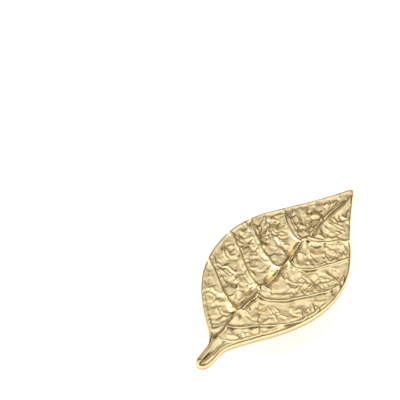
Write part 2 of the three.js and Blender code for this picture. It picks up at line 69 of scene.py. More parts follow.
# veins: line from midrib to margin, half width, heights along it, and how much it leans to one side
VEINS = [
    ([(1.99, -47.21), (1.72, -45.40), (1.52, -43.79), (1.47, -42.15), (1.38, -40.47), (1.16, -38.26), (1.07, -36.21), (1.11, -34.30), (0.99, -33.38), (0.96, -31.42), (1.03, -29.54), (0.87, -28.15), (0.63, -26.45), (0.77, -25.19), (0.10, -22.94), (0.00, -21.63), (0.63, -20.01), (1.00, -18.19), (1.19, -16.28), (1.67, -13.85), (1.81, -12.70), (1.06, -10.71), (0.34, -9.37), (0.76, -8.38), (1.42, -7.38), (1.74, -6.24), (1.92, -4.89), (1.97, -3.42), (1.89, -1.87), (1.70, -0.40), (1.33, 1.10), (1.58, 2.36), (1.83, 3.61), (1.96, 4.99), (1.71, 6.97), (1.47, 8.96), (1.38, 10.30), (0.78, 12.58), (0.50, 14.02), (1.24, 16.14), (1.48, 18.22), (1.42, 21.66), (1.30, 24.91), (1.29, 27.99), (1.40, 30.90), (1.63, 33.64), (1.85, 36.41), (2.06, 39.20), (2.16, 42.16)],
     1.60, [0.80, 0.80, 0.80, 0.81, 0.82, 0.80, 0.76, 0.74, 0.74, 0.72, 0.68, 0.62, 0.51, 0.40], [-0.03, -0.06, -0.10, -0.19, -0.24, -0.27, -0.27, -0.27, -0.27, -0.25, -0.23, -0.19, -0.13, -0.07]),
    ([(1.99, -47.21), (1.72, -45.40), (1.52, -43.79), (1.47, -42.15), (1.38, -40.47), (1.16, -38.26), (1.07, -36.21), (1.11, -34.30), (0.99, -33.38), (0.96, -31.42), (1.03, -29.54), (0.87, -28.15), (0.63, -26.45), (0.77, -25.19), (0.10, -22.94), (0.00, -21.63), (0.63, -20.01), (1.00, -18.19), (1.19, -16.28), (1.67, -13.85), (1.81, -12.70), (1.06, -10.71), (0.34, -9.37), (0.76, -8.38), (1.42, -7.38), (1.74, -6.24), (1.92, -4.89), (1.97, -3.42), (1.89, -1.87), (1.70, -0.40), (1.33, 1.10), (1.58, 2.36), (1.83, 3.61), (1.96, 4.99), (1.71, 6.97), (1.47, 8.96), (1.38, 10.30), (0.78, 12.58), (0.50, 14.02), (1.24, 16.14), (1.48, 18.22), (1.42, 21.66), (1.30, 24.91), (1.29, 27.99), (1.40, 30.90), (1.63, 33.64), (1.85, 36.41), (2.06, 39.20), (2.16, 42.16)],
     0.46, [0.34, 0.34, 0.34, 0.34, 0.34, 0.34, 0.35, 0.35, 0.36, 0.36, 0.36, 0.36, 0.36, 0.36, 0.36, 0.35, 0.35, 0.34, 0.33, 0.32, 0.30, 0.29, 0.27, 0.24, 0.22, 0.19, 0.16], [-0.01, -0.02, -0.02, -0.03, -0.03, -0.04, -0.04, -0.05, -0.05, -0.06, -0.06, -0.06, -0.06, -0.06, -0.06, -0.06, -0.06, -0.06, -0.05, -0.05, -0.05, -0.04, -0.04, -0.04, -0.03, -0.03, -0.03]),
    ([(1.99, -47.21), (1.72, -45.40), (1.52, -43.79), (1.47, -42.15), (1.38, -40.47), (1.16, -38.26), (1.07, -36.21), (1.11, -34.30), (0.99, -33.38), (0.96, -31.42), (1.03, -29.54), (0.87, -28.15), (0.63, -26.45), (0.77, -25.19), (0.10, -22.94), (0.00, -21.63), (0.63, -20.01), (1.00, -18.19), (1.19, -16.28), (1.67, -13.85), (1.81, -12.70), (1.06, -10.71), (0.34, -9.37), (0.76, -8.38), (1.42, -7.38), (1.74, -6.24), (1.92, -4.89), (1.97, -3.42), (1.89, -1.87), (1.70, -0.40), (1.33, 1.10), (1.58, 2.36), (1.83, 3.61), (1.96, 4.99), (1.71, 6.97), (1.47, 8.96), (1.38, 10.30), (0.78, 12.58), (0.50, 14.02), (1.24, 16.14), (1.48, 18.22), (1.42, 21.66), (1.30, 24.91), (1.29, 27.99), (1.40, 30.90), (1.63, 33.64), (1.85, 36.41), (2.06, 39.20), (2.16, 42.16)],
     0.97, [-0.10, -0.10, -0.10, -0.10, -0.10, -0.10, -0.10, -0.11, -0.11, -0.11, -0.11, -0.11, -0.11, -0.11, -0.11, -0.11, -0.10, -0.10, -0.10, -0.10, -0.09, -0.09, -0.08, -0.07, -0.06, -0.06, -0.05], [0.00, 0.00, 0.00, 0.00, 0.00, 0.00, 0.00, 0.00, 0.00, 0.00, 0.00, 0.00, 0.00, 0.00, 0.00, 0.00, 0.00, 0.00, 0.00, 0.00, 0.00, 0.00, 0.00, 0.00, 0.00, 0.00, 0.00]),
    ([(-0.85, -21.56), (-1.98, -21.11), (-3.12, -20.46), (-4.26, -20.16), (-5.57, -19.46), (-6.87, -18.60), (-8.45, -17.91), (-9.75, -16.98), (-11.48, -15.50), (-13.13, -14.31), (-14.96, -12.86), (-16.81, -11.39), (-19.15, -9.65), (-20.71, -8.77)],
     1.30, [0.34, 0.34, 0.34, 0.33, 0.30, 0.28], [0.00, 0.00, 0.00, 0.00, 0.00, 0.00]),
    ([(-0.85, -21.56), (-1.98, -21.11), (-3.12, -20.46), (-4.26, -20.16), (-5.57, -19.46), (-6.87, -18.60), (-8.45, -17.91), (-9.75, -16.98), (-11.48, -15.50), (-13.13, -14.31), (-14.96, -12.86), (-16.81, -11.39), (-19.15, -9.65), (-20.71, -8.77)],
     0.56, [0.70, 0.70, 0.69, 0.69, 0.68, 0.68, 0.65, 0.62, 0.60, 0.57, 0.54], [0.00, 0.00, 0.00, 0.00, 0.00, 0.00, 0.00, 0.00, 0.00, 0.00, 0.00]),
    ([(-0.85, -21.56), (-1.98, -21.11), (-3.12, -20.46), (-4.26, -20.16), (-5.57, -19.46), (-6.87, -18.60), (-8.45, -17.91), (-9.75, -16.98), (-11.48, -15.50), (-13.13, -14.31), (-14.96, -12.86), (-16.81, -11.39), (-19.15, -9.65), (-20.71, -8.77)],
     0.97, [-0.21, -0.21, -0.21, -0.21, -0.21, -0.20, -0.20, -0.19, -0.18, -0.17, -0.16], [0.00, 0.00, 0.00, 0.00, 0.00, 0.00, 0.00, 0.00, 0.00, 0.00, 0.00]),
    ([(0.22, -9.49), (-1.15, -8.74), (-2.20, -8.40), (-3.61, -7.77), (-5.08, -7.01), (-6.89, -5.75), (-8.71, -4.54), (-10.26, -3.24), (-11.32, -2.54), (-13.14, -0.86), (-14.90, 0.67), (-16.59, 1.74), (-18.37, 3.11), (-19.77, 4.12), (-21.24, 5.06), (-22.33, 5.01)],
     1.30, [0.34, 0.34, 0.34, 0.33, 0.30, 0.28], [0.00, 0.00, 0.00, 0.00, 0.00, 0.00]),
    ([(0.22, -9.49), (-1.15, -8.74), (-2.20, -8.40), (-3.61, -7.77), (-5.08, -7.01), (-6.89, -5.75), (-8.71, -4.54), (-10.26, -3.24), (-11.32, -2.54), (-13.14, -0.86), (-14.90, 0.67), (-16.59, 1.74), (-18.37, 3.11), (-19.77, 4.12), (-21.24, 5.06), (-22.33, 5.01)],
     0.56, [0.70, 0.70, 0.69, 0.69, 0.68, 0.68, 0.65, 0.62, 0.60, 0.57, 0.54], [0.00, 0.00, 0.00, 0.00, 0.00, 0.00, 0.00, 0.00, 0.00, 0.00, 0.00]),
    ([(0.22, -9.49), (-1.15, -8.74), (-2.20, -8.40), (-3.61, -7.77), (-5.08, -7.01), (-6.89, -5.75), (-8.71, -4.54), (-10.26, -3.24), (-11.32, -2.54), (-13.14, -0.86), (-14.90, 0.67), (-16.59, 1.74), (-18.37, 3.11), (-19.77, 4.12), (-21.24, 5.06), (-22.33, 5.01)],
     0.97, [-0.21, -0.21, -0.21, -0.21, -0.21, -0.20, -0.20, -0.19, -0.18, -0.17, -0.16], [0.00, 0.00, 0.00, 0.00, 0.00, 0.00, 0.00, 0.00, 0.00, 0.00, 0.00]),
    ([(1.67, 2.11), (0.42, 1.67), (-0.68, 1.67), (-2.02, 1.82), (-3.22, 2.39), (-4.35, 3.08), (-5.34, 3.33), (-6.84, 4.08), (-8.50, 4.95), (-9.73, 5.90), (-10.67, 6.91), (-11.92, 7.71), (-13.52, 8.84), (-15.04, 10.04), (-16.56, 11.28), (-18.12, 12.95), (-19.17, 14.06)],
     1.30, [0.34, 0.34, 0.34, 0.33, 0.30, 0.28], [0.00, 0.00, 0.00, 0.00, 0.00, 0.00]),
    ([(1.67, 2.11), (0.42, 1.67), (-0.68, 1.67), (-2.02, 1.82), (-3.22, 2.39), (-4.35, 3.08), (-5.34, 3.33), (-6.84, 4.08), (-8.50, 4.95), (-9.73, 5.90), (-10.67, 6.91), (-11.92, 7.71), (-13.52, 8.84), (-15.04, 10.04), (-16.56, 11.28), (-18.12, 12.95), (-19.17, 14.06)],
     0.56, [0.70, 0.70, 0.69, 0.69, 0.68, 0.68, 0.65, 0.62, 0.60, 0.57, 0.54], [0.00, 0.00, 0.00, 0.00, 0.00, 0.00, 0.00, 0.00, 0.00, 0.00, 0.00]),
    ([(1.67, 2.11), (0.42, 1.67), (-0.68, 1.67), (-2.02, 1.82), (-3.22, 2.39), (-4.35, 3.08), (-5.34, 3.33), (-6.84, 4.08), (-8.50, 4.95), (-9.73, 5.90), (-10.67, 6.91), (-11.92, 7.71), (-13.52, 8.84), (-15.04, 10.04), (-16.56, 11.28), (-18.12, 12.95), (-19.17, 14.06)],
     0.97, [-0.21, -0.21, -0.21, -0.21, -0.21, -0.20, -0.20, -0.19, -0.18, -0.17, -0.16], [0.00, 0.00, 0.00, 0.00, 0.00, 0.00, 0.00, 0.00, 0.00, 0.00, 0.00]),
    ([(-9.71, 4.20), (-10.82, 5.33), (-11.86, 6.25), (-13.10, 7.03), (-14.32, 8.02), (-15.68, 8.98), (-16.91, 9.99), (-18.03, 10.78), (-19.97, 12.03)],
     0.80, [0.10, 0.10, 0.10], [0.00, 0.00, 0.00]),
    ([(-9.71, 4.20), (-10.82, 5.33), (-11.86, 6.25), (-13.10, 7.03), (-14.32, 8.02), (-15.68, 8.98), (-16.91, 9.99), (-18.03, 10.78), (-19.97, 12.03)],
     0.51, [0.34, 0.33, 0.32, 0.31, 0.30], [0.00, 0.00, 0.00, 0.00, 0.00]),
    ([(-9.71, 4.20), (-10.82, 5.33), (-11.86, 6.25), (-13.10, 7.03), (-14.32, 8.02), (-15.68, 8.98), (-16.91, 9.99), (-18.03, 10.78), (-19.97, 12.03)],
     0.88, [-0.10, -0.10, -0.10, -0.09, -0.09], [0.00, 0.00, 0.00, 0.00, 0.00]),
    ([(0.23, 15.52), (-1.07, 15.63), (-2.55, 15.99), (-4.07, 16.72), (-5.21, 17.38), (-6.44, 18.22), (-7.70, 19.05), (-8.78, 20.03), (-9.86, 21.02), (-11.34, 22.47)],
     1.30, [0.34, 0.33, 0.32, 0.31, 0.30], [0.00, 0.00, 0.00, 0.00, 0.00]),
    ([(0.23, 15.52), (-1.07, 15.63), (-2.55, 15.99), (-4.07, 16.72), (-5.21, 17.38), (-6.44, 18.22), (-7.70, 19.05), (-8.78, 20.03), (-9.86, 21.02), (-11.34, 22.47)],
     0.54, [0.62, 0.60, 0.59, 0.57, 0.56, 0.55, 0.53, 0.52, 0.50], [0.00, 0.00, 0.00, 0.00, 0.00, 0.00, 0.00, 0.00, 0.00]),
    ([(0.23, 15.52), (-1.07, 15.63), (-2.55, 15.99), (-4.07, 16.72), (-5.21, 17.38), (-6.44, 18.22), (-7.70, 19.05), (-8.78, 20.03), (-9.86, 21.02), (-11.34, 22.47)],
     0.92, [-0.19, -0.18, -0.18, -0.17, -0.17, -0.16, -0.16, -0.15, -0.15], [0.00, 0.00, 0.00, 0.00, 0.00, 0.00, 0.00, 0.00, 0.00]),
    ([(0.82, 16.97), (-0.36, 16.71), (-1.59, 17.13), (-3.20, 18.06), (-4.61, 18.92), (-5.91, 19.88), (-7.52, 21.04), (-8.89, 22.22)],
     0.80, [0.10, 0.10, 0.10, 0.10], [0.00, 0.00, 0.00, 0.00]),
    ([(0.82, 16.97), (-0.36, 16.71), (-1.59, 17.13), (-3.20, 18.06), (-4.61, 18.92), (-5.91, 19.88), (-7.52, 21.04), (-8.89, 22.22)],
     0.51, [0.36, 0.35, 0.34, 0.33, 0.32, 0.31, 0.30], [0.00, 0.00, 0.00, 0.00, 0.00, 0.00, 0.00]),
    ([(0.82, 16.97), (-0.36, 16.71), (-1.59, 17.13), (-3.20, 18.06), (-4.61, 18.92), (-5.91, 19.88), (-7.52, 21.04), (-8.89, 22.22)],
     0.88, [-0.11, -0.10, -0.10, -0.10, -0.10, -0.09, -0.09], [0.00, 0.00, 0.00, 0.00, 0.00, 0.00, 0.00]),
    ([(1.10, -29.47), (2.73, -28.13), (4.82, -26.23), (7.20, -24.06), (8.64, -22.97), (11.56, -20.56), (13.34, -19.21), (14.89, -17.58), (16.56, -16.25), (18.33, -14.22), (20.02, -11.96), (21.19, -9.82), (21.98, -7.99), (22.17, -6.47), (21.90, -5.06)],
     1.30, [0.34, 0.34, 0.34, 0.33, 0.30, 0.28], [0.00, 0.00, 0.00, 0.00, 0.00, 0.00]),
    ([(1.10, -29.47), (2.73, -28.13), (4.82, -26.23), (7.20, -24.06), (8.64, -22.97), (11.56, -20.56), (13.34, -19.21), (14.89, -17.58), (16.56, -16.25), (18.33, -14.22), (20.02, -11.96), (21.19, -9.82), (21.98, -7.99), (22.17, -6.47), (21.90, -5.06)],
     0.56, [0.70, 0.70, 0.69, 0.69, 0.68, 0.68, 0.65, 0.62, 0.60, 0.57, 0.54], [0.00, 0.00, 0.00, 0.00, 0.00, 0.00, 0.00, 0.00, 0.00, 0.00, 0.00]),
    ([(1.10, -29.47), (2.73, -28.13), (4.82, -26.23), (7.20, -24.06), (8.64, -22.97), (11.56, -20.56), (13.34, -19.21), (14.89, -17.58), (16.56, -16.25), (18.33, -14.22), (20.02, -11.96), (21.19, -9.82), (21.98, -7.99), (22.17, -6.47), (21.90, -5.06)],
     0.97, [-0.21, -0.21, -0.21, -0.21, -0.21, -0.20, -0.20, -0.19, -0.18, -0.17, -0.16], [0.00, 0.00, 0.00, 0.00, 0.00, 0.00, 0.00, 0.00, 0.00, 0.00, 0.00]),
    ([(1.91, -12.60), (2.76, -12.65), (4.52, -12.25), (6.55, -11.30), (8.48, -10.15), (9.91, -9.10), (11.51, -7.45), (13.01, -5.66), (14.48, -3.88), (15.99, -2.10), (16.68, -1.14), (18.07, 0.83), (19.54, 2.69), (20.20, 4.31), (20.95, 6.22), (21.26, 7.38)],
     1.30, [0.34, 0.34, 0.34, 0.33, 0.30, 0.28], [0.00, 0.00, 0.00, 0.00, 0.00, 0.00]),
    ([(1.91, -12.60), (2.76, -12.65), (4.52, -12.25), (6.55, -11.30), (8.48, -10.15), (9.91, -9.10), (11.51, -7.45), (13.01, -5.66), (14.48, -3.88), (15.99, -2.10), (16.68, -1.14), (18.07, 0.83), (19.54, 2.69), (20.20, 4.31), (20.95, 6.22), (21.26, 7.38)],
     0.56, [0.70, 0.70, 0.69, 0.69, 0.68, 0.68, 0.65, 0.62, 0.60, 0.57, 0.54], [0.00, 0.00, 0.00, 0.00, 0.00, 0.00, 0.00, 0.00, 0.00, 0.00, 0.00]),
    ([(1.91, -12.60), (2.76, -12.65), (4.52, -12.25), (6.55, -11.30), (8.48, -10.15), (9.91, -9.10), (11.51, -7.45), (13.01, -5.66), (14.48, -3.88), (15.99, -2.10), (16.68, -1.14), (18.07, 0.83), (19.54, 2.69), (20.20, 4.31), (20.95, 6.22), (21.26, 7.38)],
     0.97, [-0.21, -0.21, -0.21, -0.21, -0.21, -0.20, -0.20, -0.19, -0.18, -0.17, -0.16], [0.00, 0.00, 0.00, 0.00, 0.00, 0.00, 0.00, 0.00, 0.00, 0.00, 0.00]),
    ([(2.17, 5.39), (2.98, 4.93), (3.89, 4.55), (4.94, 4.63), (6.27, 5.08), (7.93, 5.82), (9.77, 7.13), (11.25, 8.57), (12.38, 10.35), (13.58, 12.37), (14.96, 14.40), (16.14, 16.67), (17.28, 18.62)],
     1.30, [0.34, 0.34, 0.34, 0.33, 0.30, 0.28], [0.00, 0.00, 0.00, 0.00, 0.00, 0.00]),
    ([(2.17, 5.39), (2.98, 4.93), (3.89, 4.55), (4.94, 4.63), (6.27, 5.08), (7.93, 5.82), (9.77, 7.13), (11.25, 8.57), (12.38, 10.35), (13.58, 12.37), (14.96, 14.40), (16.14, 16.67), (17.28, 18.62)],
     0.56, [0.70, 0.70, 0.69, 0.69, 0.68, 0.68, 0.65, 0.62, 0.60, 0.57, 0.54], [0.00, 0.00, 0.00, 0.00, 0.00, 0.00, 0.00, 0.00, 0.00, 0.00, 0.00]),
    ([(2.17, 5.39), (2.98, 4.93), (3.89, 4.55), (4.94, 4.63), (6.27, 5.08), (7.93, 5.82), (9.77, 7.13), (11.25, 8.57), (12.38, 10.35), (13.58, 12.37), (14.96, 14.40), (16.14, 16.67), (17.28, 18.62)],
     0.97, [-0.21, -0.21, -0.21, -0.21, -0.21, -0.20, -0.20, -0.19, -0.18, -0.17, -0.16], [0.00, 0.00, 0.00, 0.00, 0.00, 0.00, 0.00, 0.00, 0.00, 0.00, 0.00]),
    ([(1.53, 16.63), (2.66, 17.27), (3.89, 17.88), (5.36, 18.73), (6.70, 19.60), (8.09, 20.59), (9.28, 21.88), (10.42, 23.23), (11.68, 24.42), (13.09, 25.37)],
     1.30, [0.34, 0.34, 0.34, 0.33, 0.30, 0.28], [0.00, 0.00, 0.00, 0.00, 0.00, 0.00]),
    ([(1.53, 16.63), (2.66, 17.27), (3.89, 17.88), (5.36, 18.73), (6.70, 19.60), (8.09, 20.59), (9.28, 21.88), (10.42, 23.23), (11.68, 24.42), (13.09, 25.37)],
     0.56, [0.70, 0.70, 0.69, 0.69, 0.68, 0.68, 0.65, 0.62, 0.60, 0.57, 0.54], [0.00, 0.00, 0.00, 0.00, 0.00, 0.00, 0.00, 0.00, 0.00, 0.00, 0.00]),
    ([(1.53, 16.63), (2.66, 17.27), (3.89, 17.88), (5.36, 18.73), (6.70, 19.60), (8.09, 20.59), (9.28, 21.88), (10.42, 23.23), (11.68, 24.42), (13.09, 25.37)],
     0.97, [-0.21, -0.21, -0.21, -0.21, -0.21, -0.20, -0.20, -0.19, -0.18, -0.17, -0.16], [0.00, 0.00, 0.00, 0.00, 0.00, 0.00, 0.00, 0.00, 0.00, 0.00, 0.00]),
]
# small ridges and grooves between the veins: half width, height, lean, line
STROKES = [
    (0.58, 0.20, 0.00, [(-13.61, -22.13), (-13.49, -21.12), (-12.92, -20.18), (-12.26, -19.95), (-11.12, -20.11), (-10.18, -20.29)]),
    (0.58, -0.16, 0.00, [(-14.32, -20.82), (-14.03, -19.77), (-13.27, -19.09), (-12.25, -19.08), (-11.19, -19.43)]),
    (0.58, -0.16, 0.00, [(-13.70, -21.71), (-13.11, -21.07), (-12.00, -20.91), (-11.00, -20.57)]),
    (0.94, 0.16, 0.00, [(-14.84, -19.79), (-14.12, -19.05), (-13.47, -18.52)]),
    (0.50, 0.29, 0.00, [(-10.45, -20.20), (-9.90, -20.86)]),
    (0.93, -0.16, 0.00, [(-9.88, -20.13), (-9.15, -19.42), (-8.30, -18.88), (-7.61, -18.69)]),
    (0.74, 0.20, 0.00, [(-11.18, -19.15), (-9.96, -19.14), (-8.98, -18.78), (-8.16, -18.50)]),
    (0.87, 0.20, 0.00, [(-11.64, -23.76), (-11.01, -22.91), (-10.14, -22.40), (-9.10, -22.12)]),
    (0.63, -0.16, 0.00, [(-11.22, -24.95), (-11.10, -23.95), (-10.41, -23.18), (-9.54, -22.67)]),
    (0.41, 0.10, 0.00, [(-10.53, -24.76), (-9.79, -24.06), (-9.07, -23.63)]),
    (0.64, -0.16, 0.00, [(-10.83, -25.20), (-9.97, -24.39), (-9.10, -23.88)]),
    (0.62, 0.33, 0.00, [(-8.94, -22.77), (-7.84, -23.34), (-6.69, -24.12), (-5.29, -25.24)]),
    (0.63, -0.16, 0.00, [(-8.15, -22.32), (-7.38, -22.84), (-6.81, -22.48), (-5.73, -21.69)]),
    (0.76, 0.25, 0.00, [(-8.82, -21.35), (-8.59, -20.80)]),
    (0.70, 0.25, 0.00, [(-8.15, -22.03), (-7.17, -21.67), (-6.54, -21.11), (-5.90, -20.86)]),
    (0.54, 0.20, 0.00, [(-6.34, -23.15), (-5.19, -23.93), (-3.94, -24.54), (-3.02, -24.70)]),
    (0.50, -0.16, 0.00, [(-6.99, -23.10), (-5.72, -24.05), (-4.56, -24.82), (-3.64, -24.98), (-2.76, -24.77)]),
    (0.70, -0.16, 0.00, [(-5.44, -25.61), (-4.55, -26.30), (-3.74, -26.29)]),
    (0.64, 0.12, 0.00, [(-8.60, -27.51), (-8.38, -26.37)]),
    (0.75, 0.20, 0.00, [(-6.96, -28.69), (-6.39, -27.76), (-5.66, -27.04), (-5.00, -26.54)]),
    (0.49, -0.08, 0.00, [(-7.84, -27.43), (-7.74, -26.40), (-7.12, -25.55)]),
    (0.64, -0.16, 0.00, [(-6.62, -28.88), (-5.84, -27.96), (-4.64, -27.34), (-3.90, -26.64)]),
    (0.50, 0.25, 0.00, [(-5.59, -29.77), (-4.88, -30.60)]),
    (0.85, 0.20, 0.00, [(-5.28, -29.05), (-4.25, -28.78), (-3.27, -28.43), (-2.60, -28.51)]),
    (0.63, -0.16, 0.00, [(-4.89, -30.18), (-4.35, -29.50), (-3.37, -29.16), (-2.51, -28.64), (-2.23, -27.58)]),
    (0.57, 0.18, 0.00, [(-3.96, -30.65), (-3.07, -30.16), (-2.14, -29.46), (-1.53, -28.59), (-1.32, -27.72)]),
    (0.56, -0.16, 0.00, [(-3.53, -31.25), (-3.39, -30.58), (-2.65, -30.19), (-1.91, -29.50), (-1.37, -28.53), (-1.02, -27.56)]),
    (0.82, 0.25, 0.00, [(-2.59, -32.03), (-1.90, -31.26), (-1.55, -30.32), (-1.36, -29.71)]),
    (0.72, -0.16, 0.00, [(-2.69, -32.74), (-1.85, -33.36), (-1.23, -34.54)]),
    (0.54, -0.16, 0.00, [(-1.28, -32.14), (-0.88, -32.14)]),
    (0.83, -0.19, 0.00, [(-1.14, -33.51), (-0.35, -32.32), (-0.09, -30.94), (0.01, -29.64), (0.12, -28.33)]),
    (0.74, 0.00, 0.25, [(-4.96, -20.75), (-4.07, -21.44), (-3.04, -22.04), (-1.93, -22.17)]),
    (0.67, -0.16, 0.00, [(-3.86, -22.61), (-2.96, -23.03), (-2.02, -22.92), (-1.30, -22.19)]),
    (0.56, 0.16, 0.00, [(-3.17, -23.90), (-2.63, -23.80)]),
    (0.46, 0.16, 0.00, [(-1.39, -25.00), (-0.64, -25.78)]),
    (0.47, -0.16, 0.00, [(-2.15, -24.78), (-1.40, -25.56), (-0.12, -26.23)]),
    (0.58, 0.20, 0.00, [(-2.93, -26.00), (-2.37, -25.64)]),
    (0.68, -0.13, 0.00, [(-15.67, -16.84), (-16.58, -16.72), (-17.30, -16.58)]),
    (0.60, 0.23, 0.00, [(-17.93, -12.56), (-17.11, -13.61), (-16.02, -15.00), (-14.96, -16.39), (-13.53, -17.55), (-12.09, -18.44), (-11.41, -18.53)]),
    (0.51, -0.10, 0.00, [(-17.81, -14.08), (-18.66, -12.58), (-19.60, -11.82)]),
    (0.48, -0.13, 0.00, [(-17.88, -11.04), (-16.43, -12.22), (-14.99, -13.40), (-13.03, -14.74), (-11.08, -16.07), (-9.26, -17.20)]),
    (0.43, 0.12, 0.00, [(-15.79, -13.85), (-14.69, -14.71), (-13.12, -15.79), (-11.56, -16.85)]),
    (0.46, 0.25, 0.00, [(-20.46, -6.29), (-19.48, -7.28), (-18.09, -8.80)]),
    (0.46, -0.16, 0.00, [(-19.87, -5.72), (-19.13, -6.59), (-18.27, -7.65)]),
    (0.47, -0.13, 0.00, [(-20.77, -7.20), (-19.68, -8.47), (-18.08, -9.87)]),
    (0.61, 0.12, 0.00, [(-21.64, -6.27), (-21.16, -7.54), (-20.68, -8.52)]),
    (0.47, 0.31, 0.00, [(-20.89, 0.08), (-20.32, -0.92), (-19.50, -2.03), (-18.52, -3.03), (-17.32, -3.87), (-16.43, -4.26)]),
    (0.48, 0.23, 0.00, [(-18.84, -1.09), (-18.17, -1.75), (-17.37, -2.31), (-16.43, -2.77), (-15.46, -2.68), (-14.93, -1.96)]),
    (0.41, -0.14, 0.00, [(-19.83, -0.67), (-18.99, -1.76), (-17.93, -2.69), (-16.78, -3.45), (-15.90, -3.53)]),
    (0.71, -0.26, 0.00, [(-20.01, 0.30), (-19.62, 0.64)]),
    (0.54, -0.13, 0.00, [(-19.53, 1.40), (-18.95, 1.76)]),
    (0.41, 0.16, 0.00, [(-18.82, 0.26), (-18.41, 0.67)]),
    (0.47, -0.19, 0.00, [(-18.76, -0.01), (-18.10, -0.66), (-17.16, -1.41)]),
    (0.59, -0.19, 0.00, [(-16.55, -4.37), (-15.39, -4.26), (-14.46, -3.81), (-13.69, -3.14)]),
    (0.42, -0.13, 0.00, [(-21.24, 1.18), (-21.43, 0.26), (-21.06, -0.86), (-20.27, -2.00), (-19.34, -3.03), (-18.00, -4.07)]),
    (0.62, 0.00, 0.29, [(-17.71, 0.68), (-16.57, -0.19), (-15.25, -1.20)]),
    (0.77, 0.00, 0.29, [(-13.22, -2.53), (-12.10, -3.37), (-10.66, -4.26), (-9.49, -5.06)]),
    (0.64, 0.00, 0.33, [(-7.43, -6.56), (-6.27, -7.35), (-4.98, -8.04), (-3.81, -8.55)]),
    (0.41, -0.13, 0.00, [(-18.50, -5.43), (-18.61, -4.97), (-18.31, -4.52)]),
    (0.46, 0.25, 0.00, [(-17.59, -6.15), (-16.81, -6.97)]),
    (0.52, 0.27, 0.00, [(-18.55, -5.95), (-18.11, -6.99), (-17.41, -7.87), (-16.60, -8.15), (-15.71, -7.96), (-14.34, -7.55), (-13.14, -7.50), (-11.93, -7.76), (-10.66, -8.12), (-9.68, -8.35)]),
    (0.55, -0.26, 0.00, [(-16.93, -8.39), (-16.31, -8.27), (-15.22, -8.36), (-14.29, -7.92), (-13.15, -8.07), (-12.09, -8.42), (-11.29, -8.68)]),
    (0.47, 0.23, 0.00, [(-16.67, -9.24), (-15.64, -9.53), (-14.37, -9.87), (-12.89, -10.22), (-11.42, -10.57)]),
    (0.41, -0.10, 0.00, [(-16.08, -8.90), (-14.73, -9.36), (-13.25, -9.71), (-11.90, -9.87)]),
    (0.49, 0.23, 0.00, [(-15.50, -10.33), (-14.42, -10.69), (-12.96, -11.31), (-11.49, -11.65), (-10.40, -11.45), (-10.01, -10.83)]),
    (0.41, -0.10, 0.00, [(-15.21, -10.44), (-14.14, -10.80), (-12.41, -11.51), (-11.01, -11.74)]),
    (0.43, 0.16, 0.00, [(-14.99, -11.05), (-13.94, -11.68), (-12.50, -12.57), (-11.32, -13.36)]),
    (0.41, -0.13, 0.00, [(-14.51, -10.67), (-13.23, -11.51), (-12.18, -12.13)]),
    (0.52, -0.26, 0.00, [(-11.38, -12.39), (-10.53, -11.84), (-9.96, -11.19), (-9.50, -10.37)]),
    (0.43, -0.16, 0.00, [(-9.88, -14.26), (-10.27, -13.22), (-10.43, -12.29)]),
    (0.41, -0.16, 0.00, [(-9.28, -10.22), (-9.56, -9.10), (-10.20, -8.48)]),
    (0.44, 0.25, 0.00, [(-10.32, -10.09), (-10.39, -9.10)]),
    (0.44, 0.29, 0.00, [(-9.37, -9.98), (-8.51, -10.45), (-7.68, -10.94)]),
    (0.48, -0.32, 0.00, [(-9.60, -8.75), (-8.95, -9.21)]),
    (0.59, -0.32, 0.00, [(-9.45, -8.08), (-8.80, -7.53), (-8.37, -6.97)]),
    (0.53, 0.27, 0.00, [(-8.90, -8.88), (-8.00, -9.58), (-7.25, -10.38), (-6.34, -10.81), (-5.35, -10.76), (-4.35, -10.13), (-3.87, -9.64)]),
    (0.76, -0.35, 0.00, [(-5.45, -11.19), (-4.76, -10.71), (-3.88, -10.21)]),
    (0.43, -0.06, 0.00, [(-6.49, -11.47), (-5.82, -11.54)]),
    (0.42, 0.20, 0.00, [(-6.77, -11.37), (-6.54, -11.99)]),
    (0.56, -0.16, 0.00, [(-7.43, -11.59), (-6.72, -13.20), (-6.16, -14.90)]),
    (0.51, 0.25, 0.00, [(-6.19, -12.02), (-5.69, -13.51), (-5.11, -14.94), (-5.04, -15.92), (-5.44, -17.12), (-6.29, -17.95), (-6.66, -18.29)]),
    (0.51, -0.16, 0.00, [(-7.27, -17.70), (-6.51, -17.04), (-6.10, -16.15)]),
    (0.75, 0.12, 0.00, [(-9.64, -12.25), (-8.75, -13.23), (-7.47, -14.19)]),
    (0.42, 0.12, 0.00, [(-6.53, -14.07), (-5.83, -15.68)]),
    (0.60, -0.10, 0.00, [(-9.17, -15.86), (-9.89, -14.53)]),
    (0.48, -0.10, 0.00, [(-9.65, -14.89), (-9.47, -14.25)]),
    (0.61, 0.20, 0.00, [(-4.71, -14.04), (-3.77, -13.92), (-2.53, -13.95), (-1.33, -13.91)]),
    (0.56, -0.10, 0.00, [(-4.26, -14.39), (-3.23, -14.11), (-2.03, -14.07)]),
    (0.46, -0.13, 0.00, [(-5.43, -13.88), (-4.59, -15.39), (-3.71, -16.36)]),
    (0.58, 0.12, 0.00, [(-5.60, -18.36), (-4.52, -18.15), (-3.79, -17.15), (-2.59, -17.11)]),
    (0.52, -0.10, 0.00, [(-5.60, -18.65), (-4.64, -18.27)]),
    (0.44, 0.25, 0.00, [(-2.86, -9.63), (-2.64, -9.06)]),
    (0.71, 0.29, 0.00, [(-2.06, -10.49), (-1.87, -9.58), (-1.58, -9.11)]),
    (0.41, -0.10, 0.00, [(-3.49, -9.00), (-3.08, -8.40)]),
    (0.56, -0.19, 0.00, [(-8.59, -6.06), (-7.95, -6.69)]),
    (0.65, -0.35, 0.00, [(-19.10, 7.66), (-18.49, 6.94)]),
    (0.50, -0.26, 0.00, [(-18.44, 6.70), (-18.35, 5.66), (-18.30, 4.71)]),
